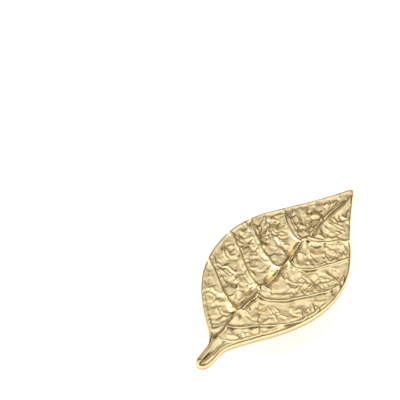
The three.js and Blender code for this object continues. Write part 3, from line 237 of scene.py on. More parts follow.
    (0.68, -0.26, 0.00, [(-17.60, 6.68), (-17.19, 6.68)]),
    (0.46, -0.22, 0.00, [(-20.83, 11.83), (-19.99, 10.74), (-19.32, 9.47)]),
    (0.59, 0.29, 0.00, [(-19.11, 7.96), (-18.74, 8.03)]),
    (0.41, 0.12, 0.00, [(-18.76, 6.26), (-18.52, 5.31)]),
    (0.42, 0.16, 0.00, [(-17.89, 7.09), (-16.95, 7.53)]),
    (0.44, 0.18, 0.00, [(-21.18, 5.87), (-20.08, 5.17)]),
    (0.41, -0.06, 0.00, [(-21.91, 6.02), (-20.75, 5.55)]),
    (0.43, -0.26, 0.00, [(-18.15, 3.88), (-17.21, 3.13), (-16.46, 2.64)]),
    (0.54, 0.25, 0.00, [(-18.72, 4.10), (-17.89, 3.81), (-16.80, 3.43), (-16.16, 3.68)]),
    (0.42, -0.10, 0.00, [(-17.46, 4.86), (-16.81, 4.64)]),
    (0.57, 0.20, 0.00, [(-15.25, 1.48), (-14.81, 2.04), (-14.55, 2.85)]),
    (0.56, -0.26, 0.00, [(-14.44, 2.41), (-14.09, 3.39), (-13.70, 4.20)]),
    (0.44, -0.22, 0.00, [(-13.90, 4.49), (-14.54, 5.42), (-14.57, 6.49), (-14.41, 7.14)]),
    (0.51, 0.16, 0.00, [(-14.41, 1.76), (-13.12, 0.48), (-11.83, -0.79)]),
    (0.42, 0.16, 0.00, [(-13.30, 2.24), (-12.36, 0.99), (-11.57, -0.08)]),
    (0.41, -0.08, 0.00, [(-13.77, 2.15), (-12.34, 0.44)]),
    (0.41, -0.19, 0.00, [(-14.69, 1.27), (-13.38, 0.27), (-11.82, -1.09), (-10.61, -2.13)]),
    (0.72, 0.25, 0.00, [(-15.55, 6.69), (-14.62, 7.14), (-14.54, 7.63)]),
    (0.51, 0.29, 0.00, [(-17.84, 9.60), (-17.04, 8.74)]),
    (0.41, -0.10, 0.00, [(-16.85, 9.49), (-16.46, 9.52)]),
    (0.46, 0.25, 0.00, [(-12.60, 5.41), (-11.84, 4.30)]),
    (0.41, -0.13, 0.00, [(-12.62, 6.17), (-11.77, 5.12)]),
    (0.41, 0.12, 0.00, [(-13.03, 4.84), (-13.81, 5.67), (-13.77, 6.51)]),
    (0.42, -0.13, 0.00, [(-13.04, 4.26), (-11.97, 3.91), (-11.17, 3.64)]),
    (0.44, -0.16, 0.00, [(-10.90, 3.56), (-10.70, 2.35), (-10.54, 1.12)]),
    (0.57, 0.12, 0.00, [(-12.05, 2.81), (-11.59, 1.25), (-10.99, -0.22)]),
    (0.41, 0.12, 0.00, [(-10.28, 2.94), (-10.07, 1.74), (-9.74, 0.36)]),
    (0.56, 0.25, 0.00, [(-9.99, 4.49), (-9.28, 4.17)]),
    (0.53, 0.25, 0.00, [(-8.66, 2.98), (-8.54, 3.70)]),
    (0.41, -0.16, 0.00, [(-10.51, 4.36), (-9.95, 3.67)]),
    (0.54, 0.20, 0.00, [(-9.42, 1.39), (-8.66, 1.48), (-8.09, 2.14)]),
    (0.48, -0.16, 0.00, [(-10.51, 1.78), (-9.62, 2.29), (-8.78, 2.86)]),
    (0.65, -0.26, 0.00, [(-9.41, 0.66), (-9.01, 1.10), (-8.51, 1.28)]),
    (0.49, -0.19, 0.00, [(-9.98, -1.97), (-9.53, -1.13), (-9.35, -0.20), (-9.32, 0.35)]),
    (0.41, -0.19, 0.00, [(-10.01, -2.52), (-8.85, -3.60), (-7.57, -4.57), (-6.53, -5.18), (-5.23, -5.88), (-3.94, -6.57), (-2.51, -7.16)]),
    (0.75, 0.20, 0.00, [(-10.37, -1.41), (-10.08, -0.94)]),
    (0.53, 0.20, 0.00, [(-6.95, 2.28), (-5.64, 1.86), (-4.32, 1.44), (-3.78, 1.55)]),
    (0.41, -0.16, 0.00, [(-6.78, 2.64), (-5.99, 2.38), (-5.20, 2.13)]),
    (0.46, 0.25, 0.00, [(-7.28, 3.66), (-5.72, 2.87), (-4.15, 2.09), (-3.38, 1.56), (-3.30, 0.55), (-3.50, -0.66), (-3.56, -1.76), (-3.82, -2.58), (-4.47, -2.82)]),
    (0.56, -0.26, 0.00, [(-4.42, -3.19), (-3.60, -2.89), (-3.02, -1.95), (-2.96, -0.84), (-2.89, 0.26)]),
    (0.42, -0.19, 0.00, [(-2.88, 0.54), (-2.25, -0.09)]),
    (0.59, 0.25, 0.00, [(-8.41, -2.46), (-8.51, -1.73)]),
    (0.77, 0.20, 0.00, [(-7.39, -3.35), (-6.43, -2.96), (-5.20, -2.37)]),
    (0.53, -0.19, 0.00, [(-7.00, -3.91), (-6.04, -3.52), (-5.33, -2.76)]),
    (0.56, -0.13, 0.00, [(-5.85, -4.08), (-5.45, -4.07)]),
    (0.41, 0.20, 0.00, [(-7.70, -4.09), (-6.66, -4.71), (-5.62, -5.32)]),
    (0.53, 0.20, 0.00, [(-4.88, -5.33), (-4.31, -5.73)]),
    (0.41, -0.13, 0.00, [(-4.86, -4.03), (-4.43, -4.79)]),
    (0.77, 0.29, 0.00, [(-1.68, 0.87), (-0.62, 0.82), (0.25, 0.74)]),
    (0.61, 0.16, 0.00, [(-1.87, -0.05), (-0.98, -0.76), (-0.18, -0.73)]),
    (0.44, -0.13, 0.00, [(0.34, 0.92), (0.98, 0.58)]),
    (0.97, 0.12, 0.00, [(-3.02, -6.42), (-2.70, -5.41)]),
    (0.41, -0.22, 0.00, [(-18.53, 13.92), (-17.23, 12.76), (-15.74, 11.49)]),
    (0.52, 0.29, 0.00, [(-16.82, 13.06), (-15.96, 12.22), (-15.26, 11.56)]),
    (0.58, 0.25, 0.00, [(-14.20, 10.61), (-13.99, 10.92)]),
    (0.55, -0.32, 0.00, [(-14.06, 9.95), (-13.78, 10.74), (-13.39, 11.67), (-13.35, 12.53), (-14.00, 13.48), (-14.48, 14.00)]),
    (0.48, 0.16, 0.00, [(-13.27, 9.69), (-12.79, 10.18)]),
    (0.43, 0.20, 0.00, [(-12.63, 9.47), (-11.96, 8.56), (-11.29, 8.31)]),
    (0.48, 0.33, 0.00, [(-16.26, 18.28), (-15.36, 16.84), (-15.47, 15.92), (-15.23, 14.66), (-14.91, 13.47)]),
    (0.84, -0.13, 0.00, [(-18.00, 16.89), (-16.73, 15.64), (-16.22, 13.70)]),
    (0.46, -0.22, 0.00, [(-14.91, 17.22), (-14.29, 17.23), (-13.65, 17.20)]),
    (0.50, 0.33, 0.00, [(-15.20, 19.27), (-14.29, 18.12), (-13.46, 17.82), (-12.96, 17.99)]),
    (0.52, 0.25, 0.00, [(-13.43, 18.98), (-12.52, 18.85), (-11.98, 18.98)]),
    (0.41, -0.13, 0.00, [(-15.15, 16.66), (-15.04, 15.60), (-14.94, 14.54)]),
    (0.46, -0.32, 0.00, [(-13.59, 17.41), (-12.79, 16.54), (-12.41, 15.38)]),
    (0.90, -0.38, 0.00, [(-12.75, 17.69), (-11.77, 18.07)]),
    (0.45, -0.19, 0.00, [(-11.24, 17.30), (-10.57, 16.92)]),
    (0.46, 0.20, 0.00, [(-13.86, 15.85), (-13.51, 16.37), (-13.03, 15.85)]),
    (0.52, 0.29, 0.00, [(-12.46, 14.83), (-11.88, 13.56), (-11.47, 12.18)]),
    (0.41, -0.16, 0.00, [(-12.02, 14.81), (-11.25, 13.68), (-10.89, 12.54)]),
    (0.45, 0.27, 0.00, [(-11.79, 15.84), (-10.87, 14.80), (-9.62, 14.00), (-8.47, 14.13)]),
    (0.41, -0.16, 0.00, [(-11.43, 16.06), (-10.64, 15.20), (-9.48, 14.72), (-8.46, 15.04)]),
    (0.52, 0.29, 0.00, [(-10.77, 15.98), (-9.90, 15.19)]),
    (0.72, -0.42, 0.00, [(-9.15, 13.63), (-8.68, 13.84)]),
    (0.52, 0.33, 0.00, [(-10.69, 13.26), (-9.88, 12.44), (-8.92, 11.46)]),
    (0.41, -0.19, 0.00, [(-10.75, 12.64), (-10.42, 12.04), (-9.44, 11.34)]),
    (0.46, 0.25, 0.00, [(-10.69, 11.34), (-9.76, 10.88), (-9.23, 10.70)]),
    (0.47, -0.19, 0.00, [(-10.85, 10.38), (-10.07, 10.75), (-9.20, 10.69)]),
    (0.48, 0.25, 0.00, [(-8.43, 10.44), (-8.31, 11.17)]),
    (0.52, 0.33, 0.00, [(-8.24, 12.75), (-7.72, 12.29)]),
    (0.44, 0.25, 0.00, [(-7.13, 12.16), (-6.08, 11.52), (-5.42, 11.16)]),
    (0.41, -0.16, 0.00, [(-7.38, 11.94), (-6.61, 11.12), (-5.82, 10.85)]),
    (0.42, -0.13, 0.00, [(-8.35, 11.55), (-7.43, 11.10), (-6.75, 11.02)]),
    (0.41, 0.12, 0.00, [(-7.60, 10.74), (-7.07, 10.56)]),
    (0.49, -0.22, 0.00, [(-8.26, 13.53), (-7.19, 13.17), (-6.18, 13.49), (-5.31, 14.04), (-5.08, 14.91), (-5.63, 15.90), (-6.50, 16.39), (-7.46, 16.28)]),
    (0.48, 0.20, 0.00, [(-7.73, 13.65), (-6.73, 13.69), (-5.82, 14.16), (-5.51, 14.92)]),
    (0.48, -0.22, 0.00, [(-7.53, 14.58), (-7.06, 14.80), (-6.41, 15.36)]),
    (0.60, 0.20, 0.00, [(-7.45, 15.05), (-6.70, 15.46)]),
    (0.42, 0.16, 0.00, [(-6.97, 12.53), (-5.91, 12.18)]),
    (0.45, 0.25, 0.00, [(-5.49, 12.47), (-4.57, 12.03)]),
    (0.51, 0.29, 0.00, [(-4.88, 11.27), (-4.21, 11.19), (-3.46, 11.29)]),
    (0.66, -0.38, 0.00, [(-5.25, 10.33), (-4.66, 10.96), (-3.92, 11.09)]),
    (0.58, -0.16, 0.00, [(-3.69, 10.44), (-2.76, 10.28), (-1.80, 10.68)]),
    (0.54, 0.29, 0.00, [(-3.95, 9.48), (-2.91, 8.86), (-2.08, 8.36)]),
    (0.41, -0.13, 0.00, [(-4.27, 9.49), (-3.12, 8.41), (-2.21, 7.97)]),
    (0.42, 0.27, 0.00, [(-5.16, 9.45), (-4.48, 8.57), (-4.18, 7.71)]),
    (0.42, 0.25, 0.00, [(-5.62, 8.86), (-5.29, 8.55)]),
    (0.53, 0.16, 0.00, [(-3.11, 11.69), (-2.10, 12.02)]),
    (0.62, 0.20, 0.00, [(-1.61, 7.08), (-0.81, 7.10)]),
    (0.48, -0.13, 0.00, [(-1.48, 6.60), (-0.88, 6.91)]),
    (0.76, 0.16, 0.00, [(-1.26, 8.67), (-0.34, 8.51)]),
    (0.56, -0.35, 0.00, [(-10.37, 7.16), (-10.28, 8.04), (-10.01, 9.04), (-10.28, 9.67)]),
    (0.41, -0.19, 0.00, [(-9.93, 6.93), (-9.14, 6.38), (-8.36, 5.84)]),
    (0.62, 0.29, 0.00, [(-9.39, 7.22), (-8.73, 6.97)]),
    (0.50, 0.20, 0.00, [(-10.77, 7.85), (-10.62, 8.22)]),
    (0.66, -0.13, 0.00, [(-9.28, 9.00), (-8.33, 9.11), (-6.99, 8.96), (-5.93, 8.61)]),
    (0.66, -0.13, 0.00, [(-6.91, 5.23), (-5.72, 4.98), (-4.88, 5.57), (-4.42, 6.69)]),
    (0.57, 0.25, 0.00, [(-4.59, 3.92), (-4.13, 5.05), (-3.61, 5.79)]),
    (0.60, 0.20, 0.00, [(-3.97, 3.92), (-3.28, 4.41), (-2.73, 4.80)]),
    (0.49, -0.10, 0.00, [(-4.34, 4.06), (-4.03, 4.01)]),
    (0.68, -0.16, 0.00, [(-3.43, 7.65), (-2.38, 7.31)]),
    (0.70, 0.25, 0.00, [(-13.19, 23.19), (-12.68, 23.97)]),
    (0.66, 0.23, 0.00, [(-13.39, 20.75), (-12.73, 21.59), (-12.15, 22.27)]),
    (0.50, -0.19, 0.00, [(-13.23, 23.27), (-12.27, 23.38), (-11.21, 23.03)]),
    (0.83, -0.16, 0.00, [(-14.79, 20.08), (-14.13, 20.93)]),
    (0.58, -0.13, 0.00, [(-13.10, 20.03), (-11.98, 20.21), (-11.29, 20.10)]),
    (0.48, -0.13, 0.00, [(-12.03, 18.46), (-11.05, 18.84)]),
    (0.42, 0.10, 0.00, [(-9.21, 18.55), (-8.46, 18.96)]),
    (0.41, -0.08, 0.00, [(-9.00, 18.55), (-8.44, 18.94)]),
    (0.42, 0.16, 0.00, [(-8.45, 17.74), (-8.03, 18.03)]),
    (0.41, -0.10, 0.00, [(-8.49, 17.51), (-7.79, 17.99)]),
    (0.88, 0.08, 0.12, [(-6.22, 17.18), (-4.65, 16.07), (-3.08, 14.97), (-1.77, 14.26)]),
    (0.63, -0.13, 0.00, [(-4.70, 14.35), (-3.67, 13.44), (-2.49, 12.91)]),
    (0.41, -0.08, 0.00, [(-4.48, 16.15), (-3.31, 15.33), (-2.25, 14.98)]),
    (0.61, -0.32, 0.00, [(-11.70, 25.28), (-10.69, 23.67)]),
    (0.41, -0.16, 0.00, [(-12.02, 24.54), (-11.19, 23.92)]),
    (0.41, 0.16, 0.00, [(-11.03, 23.18), (-10.82, 22.74)]),
    (0.56, -0.29, 0.00, [(-11.02, 26.72), (-10.09, 25.23), (-8.82, 23.77)]),
    (0.51, 0.25, 0.00, [(-10.12, 26.42), (-9.09, 24.77)]),
    (0.60, -0.19, 0.00, [(-9.71, 27.54), (-7.90, 26.69), (-6.12, 25.59), (-5.06, 24.62)]),
    (0.41, 0.16, 0.00, [(-9.12, 25.91), (-7.71, 24.55), (-6.28, 23.54), (-5.02, 22.71)]),
    (0.46, 0.33, 0.00, [(-4.96, 22.31), (-4.58, 21.63)]),
    (0.44, 0.29, 0.00, [(-7.97, 22.38), (-6.85, 21.46), (-5.79, 20.80), (-4.73, 20.14)]),
    (0.41, -0.19, 0.00, [(-9.33, 23.42), (-7.56, 21.78), (-5.96, 20.64), (-4.72, 19.84)]),
    (0.71, -0.13, 0.00, [(-8.51, 24.54), (-7.03, 23.27), (-5.57, 22.02), (-4.66, 20.98)]),
    (0.41, 0.16, 0.00, [(-5.24, 24.25), (-5.04, 23.54)]),
    (0.42, 0.29, 0.00, [(-6.95, 29.98), (-6.11, 28.50), (-5.35, 27.00)]),
    (0.41, -0.35, 0.00, [(-7.15, 31.23), (-6.14, 29.60), (-5.16, 27.95)]),
    (0.47, 0.25, 0.00, [(-6.42, 30.92), (-5.56, 29.45)]),
    (0.73, 0.16, 0.00, [(-6.41, 31.22), (-5.63, 31.90)]),
    (0.58, -0.22, 0.00, [(-5.12, 26.55), (-4.83, 27.04)]),
    (0.52, -0.35, 0.00, [(-4.61, 25.49), (-3.89, 24.30), (-3.75, 23.28)]),
    (0.41, 0.25, 0.00, [(-5.00, 25.25), (-4.46, 24.50)]),
    (0.50, 0.25, 0.00, [(-3.11, 24.03), (-3.16, 24.84)]),
    (0.67, 0.33, 0.00, [(-3.41, 22.16), (-2.71, 22.64)]),
    (0.71, -0.38, 0.00, [(-3.71, 21.09), (-3.06, 20.43)]),
    (0.41, 0.16, 0.00, [(-3.45, 21.30), (-2.26, 20.75)]),
    (0.42, -0.10, 0.00, [(-2.73, 21.77), (-1.66, 21.41)]),
    (0.46, 0.29, 0.00, [(-1.73, 20.57), (-0.80, 20.11), (0.12, 19.66)]),
    (0.45, 0.27, 0.00, [(-2.29, 24.04), (-1.18, 23.42), (-0.07, 22.82)]),
    (0.46, 0.18, 0.00, [(-2.05, 25.32), (-0.99, 24.67), (0.33, 23.92), (1.38, 23.59)]),
    (0.41, -0.13, 0.00, [(-2.57, 25.21), (-1.24, 24.46), (0.00, 23.83)]),
    (0.54, 0.18, 0.00, [(-1.40, 21.62), (-0.23, 20.79), (0.83, 20.44), (1.27, 21.31), (1.20, 22.63)]),
    (0.41, -0.14, 0.00, [(-0.57, 21.61), (0.23, 21.35), (0.66, 21.93), (0.45, 23.15)]),
    (0.46, -0.16, 0.00, [(-0.04, 18.70), (0.00, 19.55)]),
    (0.74, -0.13, 0.00, [(-1.69, 18.10), (-0.49, 17.84), (0.33, 18.14)]),
    (0.61, -0.22, 0.00, [(-2.64, 26.84), (-2.09, 26.94), (-1.24, 27.52)]),
    (0.61, -0.19, 0.00, [(-2.10, 30.03), (-1.53, 30.41)]),
    (0.43, -0.19, 0.00, [(-4.89, 29.28), (-4.11, 27.81), (-2.91, 26.94), (-2.24, 26.55)]),
    (0.41, -0.19, 0.00, [(-3.09, 25.97), (-2.15, 25.50)]),
    (0.47, 0.33, 0.00, [(0.26, 28.02), (0.45, 27.60)]),
    (0.41, -0.13, 0.00, [(0.07, 29.25), (0.73, 28.88), (1.38, 28.52)]),
    (0.50, 0.16, 0.00, [(1.12, 26.43), (1.20, 25.38), (1.28, 24.34)]),
    (0.41, -0.10, 0.00, [(0.47, 26.19), (0.68, 24.96)]),
    (0.61, -0.22, 0.00, [(-4.97, 31.54), (-3.72, 31.22), (-2.61, 31.10)]),
    (0.79, -0.29, 0.00, [(-5.05, 33.83), (-4.33, 34.60), (-3.38, 35.04)]),
    (1.24, -0.26, 0.00, [(-4.52, 32.42), (-4.22, 33.20)]),
    (0.48, 0.12, 0.00, [(-4.48, 29.88), (-3.78, 30.06)]),
    (0.75, 0.12, 0.00, [(-2.84, 33.28), (-2.04, 32.38), (-1.66, 31.20)]),
    (0.63, -0.29, 0.00, [(-0.29, 30.41), (-0.25, 31.57), (-0.46, 33.12), (-0.82, 34.59), (-1.47, 36.18), (-1.94, 37.33)]),
    (0.43, -0.29, 0.00, [(-1.69, 33.43), (-1.82, 33.92)]),
    (0.43, 0.33, 0.00, [(-1.84, 33.94), (-2.17, 35.17)]),
    (0.41, -0.19, 0.00, [(-3.02, 36.04), (-2.18, 35.71)]),
    (0.41, 0.20, 0.00, [(-1.02, 33.63), (-1.52, 35.31), (-1.74, 36.44)]),
    (0.43, 0.33, 0.00, [(-0.52, 35.97), (-1.04, 37.37)]),
    (0.44, 0.33, 0.00, [(0.14, 36.41), (-0.18, 37.94)]),
    (0.42, -0.26, 0.00, [(0.38, 35.39), (0.85, 34.86)]),
    (0.62, -0.26, 0.00, [(0.77, 36.23), (0.82, 37.70)]),
    (0.65, -0.29, 0.00, [(0.72, 38.78), (1.18, 39.96), (1.36, 41.56), (1.52, 42.86)]),
    (0.41, 0.25, 0.00, [(-1.09, 40.85), (-0.12, 39.72)]),
    (0.41, -0.13, 0.00, [(-0.83, 38.64), (-0.10, 39.41)]),
    (0.56, -0.26, 0.00, [(4.90, 34.98), (4.96, 36.75), (5.14, 38.02), (5.06, 39.06)]),
    (0.41, -0.13, 0.00, [(6.30, 35.34), (6.13, 36.52), (5.79, 37.66)]),
    (0.43, 0.16, 0.00, [(6.56, 34.30), (6.15, 35.55), (6.10, 36.54)]),
    (0.47, -0.29, 0.00, [(4.46, 33.46), (4.89, 32.95)]),
    (0.67, -0.16, 0.00, [(5.73, 32.50), (6.37, 32.46)]),
    (0.50, 0.29, 0.00, [(5.17, 33.62), (5.86, 33.51), (6.58, 33.54)]),
    (0.66, 0.20, 0.00, [(7.28, 33.84), (8.22, 33.65)]),
    (0.66, 0.25, 0.00, [(7.25, 32.65), (8.31, 32.90)]),
    (0.41, -0.22, 0.00, [(2.82, 31.30), (3.10, 31.80), (3.91, 31.70), (4.75, 31.30), (5.40, 30.69), (5.30, 30.04), (4.59, 29.87)]),
    (0.41, 0.29, 0.00, [(3.95, 30.81), (4.59, 30.47), (5.18, 30.20)]),
    (0.92, -0.19, 0.00, [(3.16, 30.16), (3.95, 30.22)]),
    (0.51, 0.29, 0.00, [(4.27, 29.09), (5.13, 29.03), (6.18, 29.31), (7.16, 29.70), (8.18, 29.40), (8.81, 29.07)]),
    (0.41, -0.19, 0.00, [(4.03, 28.87), (5.07, 28.84), (5.99, 29.00)]),
    (0.44, 0.20, 0.00, [(4.06, 28.37), (4.94, 28.09), (6.19, 28.06), (7.23, 28.05)]),
    (0.41, -0.13, 0.00, [(5.31, 28.18), (6.61, 28.08)]),
    (0.53, 0.25, 0.00, [(5.90, 30.67), (6.15, 30.59)]),
    (0.47, 0.33, 0.00, [(3.83, 27.91), (4.16, 27.60)]),
    (0.97, -0.22, 0.00, [(3.41, 26.72), (3.95, 27.13)]),
    (0.60, -0.29, 0.00, [(2.81, 25.16), (3.30, 24.42)]),
    (0.88, 0.33, 0.00, [(3.85, 25.42), (4.90, 25.38), (5.94, 25.06), (6.98, 25.03)]),
    (0.97, -0.19, 0.00, [(4.34, 24.09), (5.78, 23.79)]),
    (0.41, -0.26, 0.00, [(7.67, 28.95), (8.57, 28.83)]),
    (0.49, -0.32, 0.00, [(8.03, 28.10), (8.94, 27.53)]),
    (0.41, 0.25, 0.00, [(7.80, 28.23), (8.14, 28.22)]),
    (0.41, 0.20, 0.00, [(8.78, 28.18), (9.55, 28.26)]),
    (0.41, -0.26, 0.00, [(8.41, 26.30), (8.54, 26.29)]),
    (0.49, 0.29, 0.00, [(9.10, 26.16), (9.19, 26.52)]),
    (0.50, 0.20, 0.00, [(7.70, 26.72), (8.34, 26.68)]),
    (0.49, -0.26, 0.00, [(8.67, 31.76), (9.72, 31.41), (10.54, 30.36)]),
    (0.72, -0.29, 0.00, [(6.97, 24.15), (7.38, 24.46)]),
    (0.65, -0.16, 0.00, [(7.55, 25.44), (8.21, 25.68), (8.96, 25.16)]),
    (0.48, 0.25, 0.00, [(6.23, 22.78), (7.01, 22.54), (7.66, 22.48)]),
    (0.58, 0.20, 0.00, [(7.74, 22.66), (8.36, 23.58), (8.83, 24.41)]),
    (0.78, 0.29, 0.00, [(3.39, 21.21), (3.75, 21.59), (4.21, 21.82)]),
    (0.51, -0.16, 0.00, [(4.07, 21.13), (4.47, 21.15)]),
    (0.52, 0.12, 0.00, [(4.19, 21.53), (5.52, 21.69), (6.71, 21.76)]),
    (0.65, -0.29, 0.00, [(2.01, 19.62), (2.31, 20.39), (2.49, 21.34)]),
    (0.54, 0.25, 0.00, [(2.05, 18.32), (2.82, 18.99), (3.77, 19.41), (4.72, 19.83), (5.91, 20.50)]),
    (0.53, 0.16, 0.00, [(6.56, 21.37), (7.03, 21.89)]),
    (0.84, 0.16, 0.00, [(10.52, 26.48), (11.47, 26.90), (12.23, 26.97)]),
    (0.42, 0.16, 0.00, [(11.99, 28.15), (12.51, 27.17)]),
    (0.44, -0.13, 0.00, [(9.23, 25.37), (9.87, 25.33)]),
    (0.41, 0.16, 0.00, [(9.19, 25.09), (9.21, 25.68)]),
    (0.47, -0.26, 0.00, [(1.99, 17.81), (3.19, 17.86), (4.46, 18.41), (5.68, 19.03), (6.63, 19.45), (7.30, 19.68)]),
    (0.48, -0.26, 0.00, [(7.84, 20.09), (8.53, 20.89), (9.56, 21.80), (10.49, 22.87)]),
    (0.48, -0.22, 0.00, [(10.90, 22.86), (11.15, 22.67)]),
    (0.52, -0.16, 0.00, [(11.37, 23.70), (11.78, 24.62), (12.35, 25.29)]),
    (0.56, 0.25, 0.00, [(3.66, 16.22), (3.90, 16.78)]),
    (0.60, 0.16, 0.00, [(4.08, 16.52), (4.78, 17.30), (5.88, 18.11)]),
    (0.53, 0.29, 0.00, [(5.24, 16.93), (5.91, 17.15)]),
    (0.60, 0.33, 0.00, [(6.39, 17.94), (7.08, 18.45)]),
    (0.48, 0.33, 0.00, [(8.71, 19.68), (9.46, 20.08), (10.15, 20.89), (10.83, 21.71)]),
    (0.44, -0.32, 0.00, [(7.69, 19.70), (8.19, 19.25), (9.00, 19.58)]),
    (0.60, -0.32, 0.00, [(2.71, 16.32), (3.54, 15.82), (4.50, 15.60), (5.32, 15.92)]),
    (0.65, -0.32, 0.00, [(5.74, 16.50), (6.59, 17.07), (7.08, 17.87), (7.77, 18.66)]),
    (0.48, 0.12, 0.00, [(4.71, 15.89), (5.52, 16.21)]),
    (0.90, 0.25, 0.00, [(6.44, 13.62), (7.61, 14.31), (8.68, 15.15), (9.16, 15.35)]),
    (0.47, 0.33, 0.00, [(3.99, 14.83), (4.70, 14.26), (5.37, 13.39), (5.86, 12.66), (6.42, 12.25)]),
    (0.52, -0.13, 0.00, [(4.08, 13.50), (4.70, 12.87)]),
    (0.58, 0.27, 0.00, [(2.58, 10.85), (3.56, 11.22), (4.65, 11.41), (5.61, 11.51)]),
    (0.51, -0.26, 0.00, [(1.84, 11.36), (2.05, 10.44), (2.68, 9.81)]),
    (0.53, -0.19, 0.00, [(4.60, 10.91), (5.55, 11.32)]),
    (0.43, -0.19, 0.00, [(6.23, 13.16), (6.51, 13.10)]),
    (0.46, -0.22, 0.00, [(6.37, 11.92), (6.85, 11.99)]),
    (0.45, 0.27, 0.00, [(6.71, 12.30), (7.54, 11.98), (8.56, 11.38), (9.57, 10.77), (10.59, 10.17)]),
    (0.47, 0.33, 0.00, [(6.11, 11.06), (6.80, 10.65), (7.29, 9.92)]),
    (0.43, -0.16, 0.00, [(7.27, 9.07), (7.65, 8.80)]),
    (0.41, -0.10, 0.00, [(5.79, 10.96), (6.66, 9.97), (7.00, 8.87)]),
    (0.43, -0.13, 0.00, [(7.81, 11.61), (9.07, 10.64), (10.09, 10.03)]),
    (0.80, 0.16, 0.00, [(8.30, 9.04), (9.22, 9.17)]),
    (0.42, -0.16, 0.00, [(7.35, 12.89), (7.61, 12.81)]),
    (0.65, -0.16, 0.00, [(8.44, 13.70), (9.26, 14.30), (9.93, 14.52)]),
    (0.43, -0.22, 0.00, [(10.13, 14.83), (10.41, 14.60)]),
    (0.41, 0.16, 0.00, [(9.71, 14.40), (10.08, 13.96)]),
    (0.41, -0.16, 0.00, [(10.19, 17.18), (10.21, 16.37), (10.77, 15.70), (11.51, 15.82)]),
    (0.59, -0.26, 0.00, [(11.49, 17.07), (11.97, 17.27)]),
    (0.54, 0.25, 0.00, [(8.92, 18.45), (9.69, 18.21), (10.66, 18.29), (11.57, 18.77), (12.22, 19.62), (12.64, 20.52)]),
    (0.50, 0.20, 0.00, [(9.79, 17.46), (10.83, 17.42), (11.82, 17.47)]),
    (0.41, -0.13, 0.00, [(10.06, 18.29), (10.97, 18.16), (11.76, 18.50), (12.37, 19.42)]),
    (0.45, 0.16, 0.00, [(12.10, 17.97), (12.65, 18.67), (12.87, 19.57)]),
    (0.54, -0.16, 0.00, [(10.49, 21.02), (11.03, 21.44)]),
    (0.41, -0.16, 0.00, [(12.97, 20.36), (13.13, 20.31)]),
    (0.43, -0.13, 0.00, [(11.94, 21.61), (12.82, 21.20), (13.60, 21.27)]),
    (0.77, 0.29, 0.00, [(12.32, 22.24), (12.53, 23.45), (12.98, 24.19)]),
    (0.64, -0.22, 0.00, [(13.44, 23.66), (14.37, 22.86), (15.13, 22.51)]),
    (0.41, 0.20, 0.00, [(13.48, 22.64), (14.30, 21.90), (14.84, 21.21)]),
    (0.42, 0.16, 0.00, [(13.42, 25.37), (14.15, 24.27), (14.93, 23.21), (15.92, 22.02)]),
    (0.46, 0.25, 0.00, [(14.68, 20.22), (15.53, 18.94)]),
    (0.42, -0.13, 0.00, [(13.90, 20.38), (14.63, 19.29), (15.68, 18.75)]),
    (0.74, 0.16, 0.00, [(15.84, 20.02), (16.11, 20.81)]),
    (0.53, 0.18, 0.00, [(10.84, 14.97), (11.68, 14.62), (12.50, 14.31), (13.30, 14.65), (13.80, 15.42), (14.02, 16.31)]),
    (0.83, -0.13, 0.00, [(11.59, 16.32), (12.64, 16.58), (13.32, 17.39)]),
    (0.45, -0.16, 0.00, [(15.93, 18.68), (15.53, 18.06), (15.24, 17.26)]),
    (0.71, 0.20, 0.00, [(10.26, 11.27), (11.30, 11.23), (11.86, 11.92), (12.03, 12.59)]),
    (0.53, -0.13, 0.00, [(10.39, 10.80), (11.45, 11.04), (12.29, 12.21), (13.01, 13.57)]),
    (0.57, -0.13, 0.00, [(11.85, 13.78), (12.62, 13.55)]),
    (0.57, 0.16, 0.00, [(3.34, 6.29), (3.20, 7.52), (3.10, 8.26), (4.10, 7.10), (4.73, 6.47)]),
    (0.77, 0.16, 0.00, [(5.00, 6.67), (6.19, 6.72), (6.93, 8.05)]),
    (0.41, 0.20, 0.00, [(2.53, 5.98), (2.33, 7.18), (2.17, 8.13)]),
    (0.41, -0.13, 0.00, [(2.81, 7.21), (2.48, 8.59), (2.28, 9.79)]),
    (0.49, 0.29, 0.00, [(3.34, 3.88), (3.65, 3.84)]),
    (0.48, -0.19, 0.00, [(2.62, 3.87), (2.24, 4.14)]),
    (0.62, -0.32, 0.00, [(3.83, 4.20), (4.62, 4.23)]),
    (0.67, -0.26, 0.00, [(2.57, 0.64), (2.65, 2.03), (2.83, 2.96)]),
    (0.71, -0.16, 0.00, [(3.61, 0.32), (3.40, 1.23)]),
    (0.41, 0.25, 0.00, [(4.17, 1.28), (5.09, 0.34), (5.64, -0.59)]),
    (0.42, 0.25, 0.00, [(6.25, 2.23), (7.14, 1.28), (7.82, 0.70)]),
    (0.60, 0.33, 0.00, [(7.58, 4.24), (8.50, 3.31), (9.39, 2.10)]),
    (0.44, 0.25, 0.00, [(9.89, 2.45), (10.09, 2.33)]),
    (0.50, 0.25, 0.00, [(3.90, -1.03), (4.36, -1.23)]),
    (0.52, 0.27, 0.00, [(5.83, -0.87), (6.95, -0.71), (8.19, -0.46), (9.53, -0.03), (10.69, 0.66)]),
    (0.58, -0.16, 0.00, [(6.95, -1.01), (8.27, -0.86), (9.56, -0.35), (10.45, 0.44)]),
    (0.58, -0.19, 0.00, [(9.93, 1.50), (10.27, 1.90)]),
    (0.43, 0.25, 0.00, [(7.19, -2.39), (8.02, -3.01)]),
    (0.41, -0.06, 0.00, [(7.73, -3.35), (8.13, -3.33)]),
    (0.69, -0.35, 0.00, [(1.73, -7.09), (1.91, -6.17), (2.10, -5.24), (2.30, -4.05), (2.64, -2.75)]),
    (0.41, 0.16, 0.00, [(2.87, -5.19), (2.80, -4.19)]),
    (0.81, -0.19, 0.00, [(3.12, -5.84), (3.44, -4.82)]),
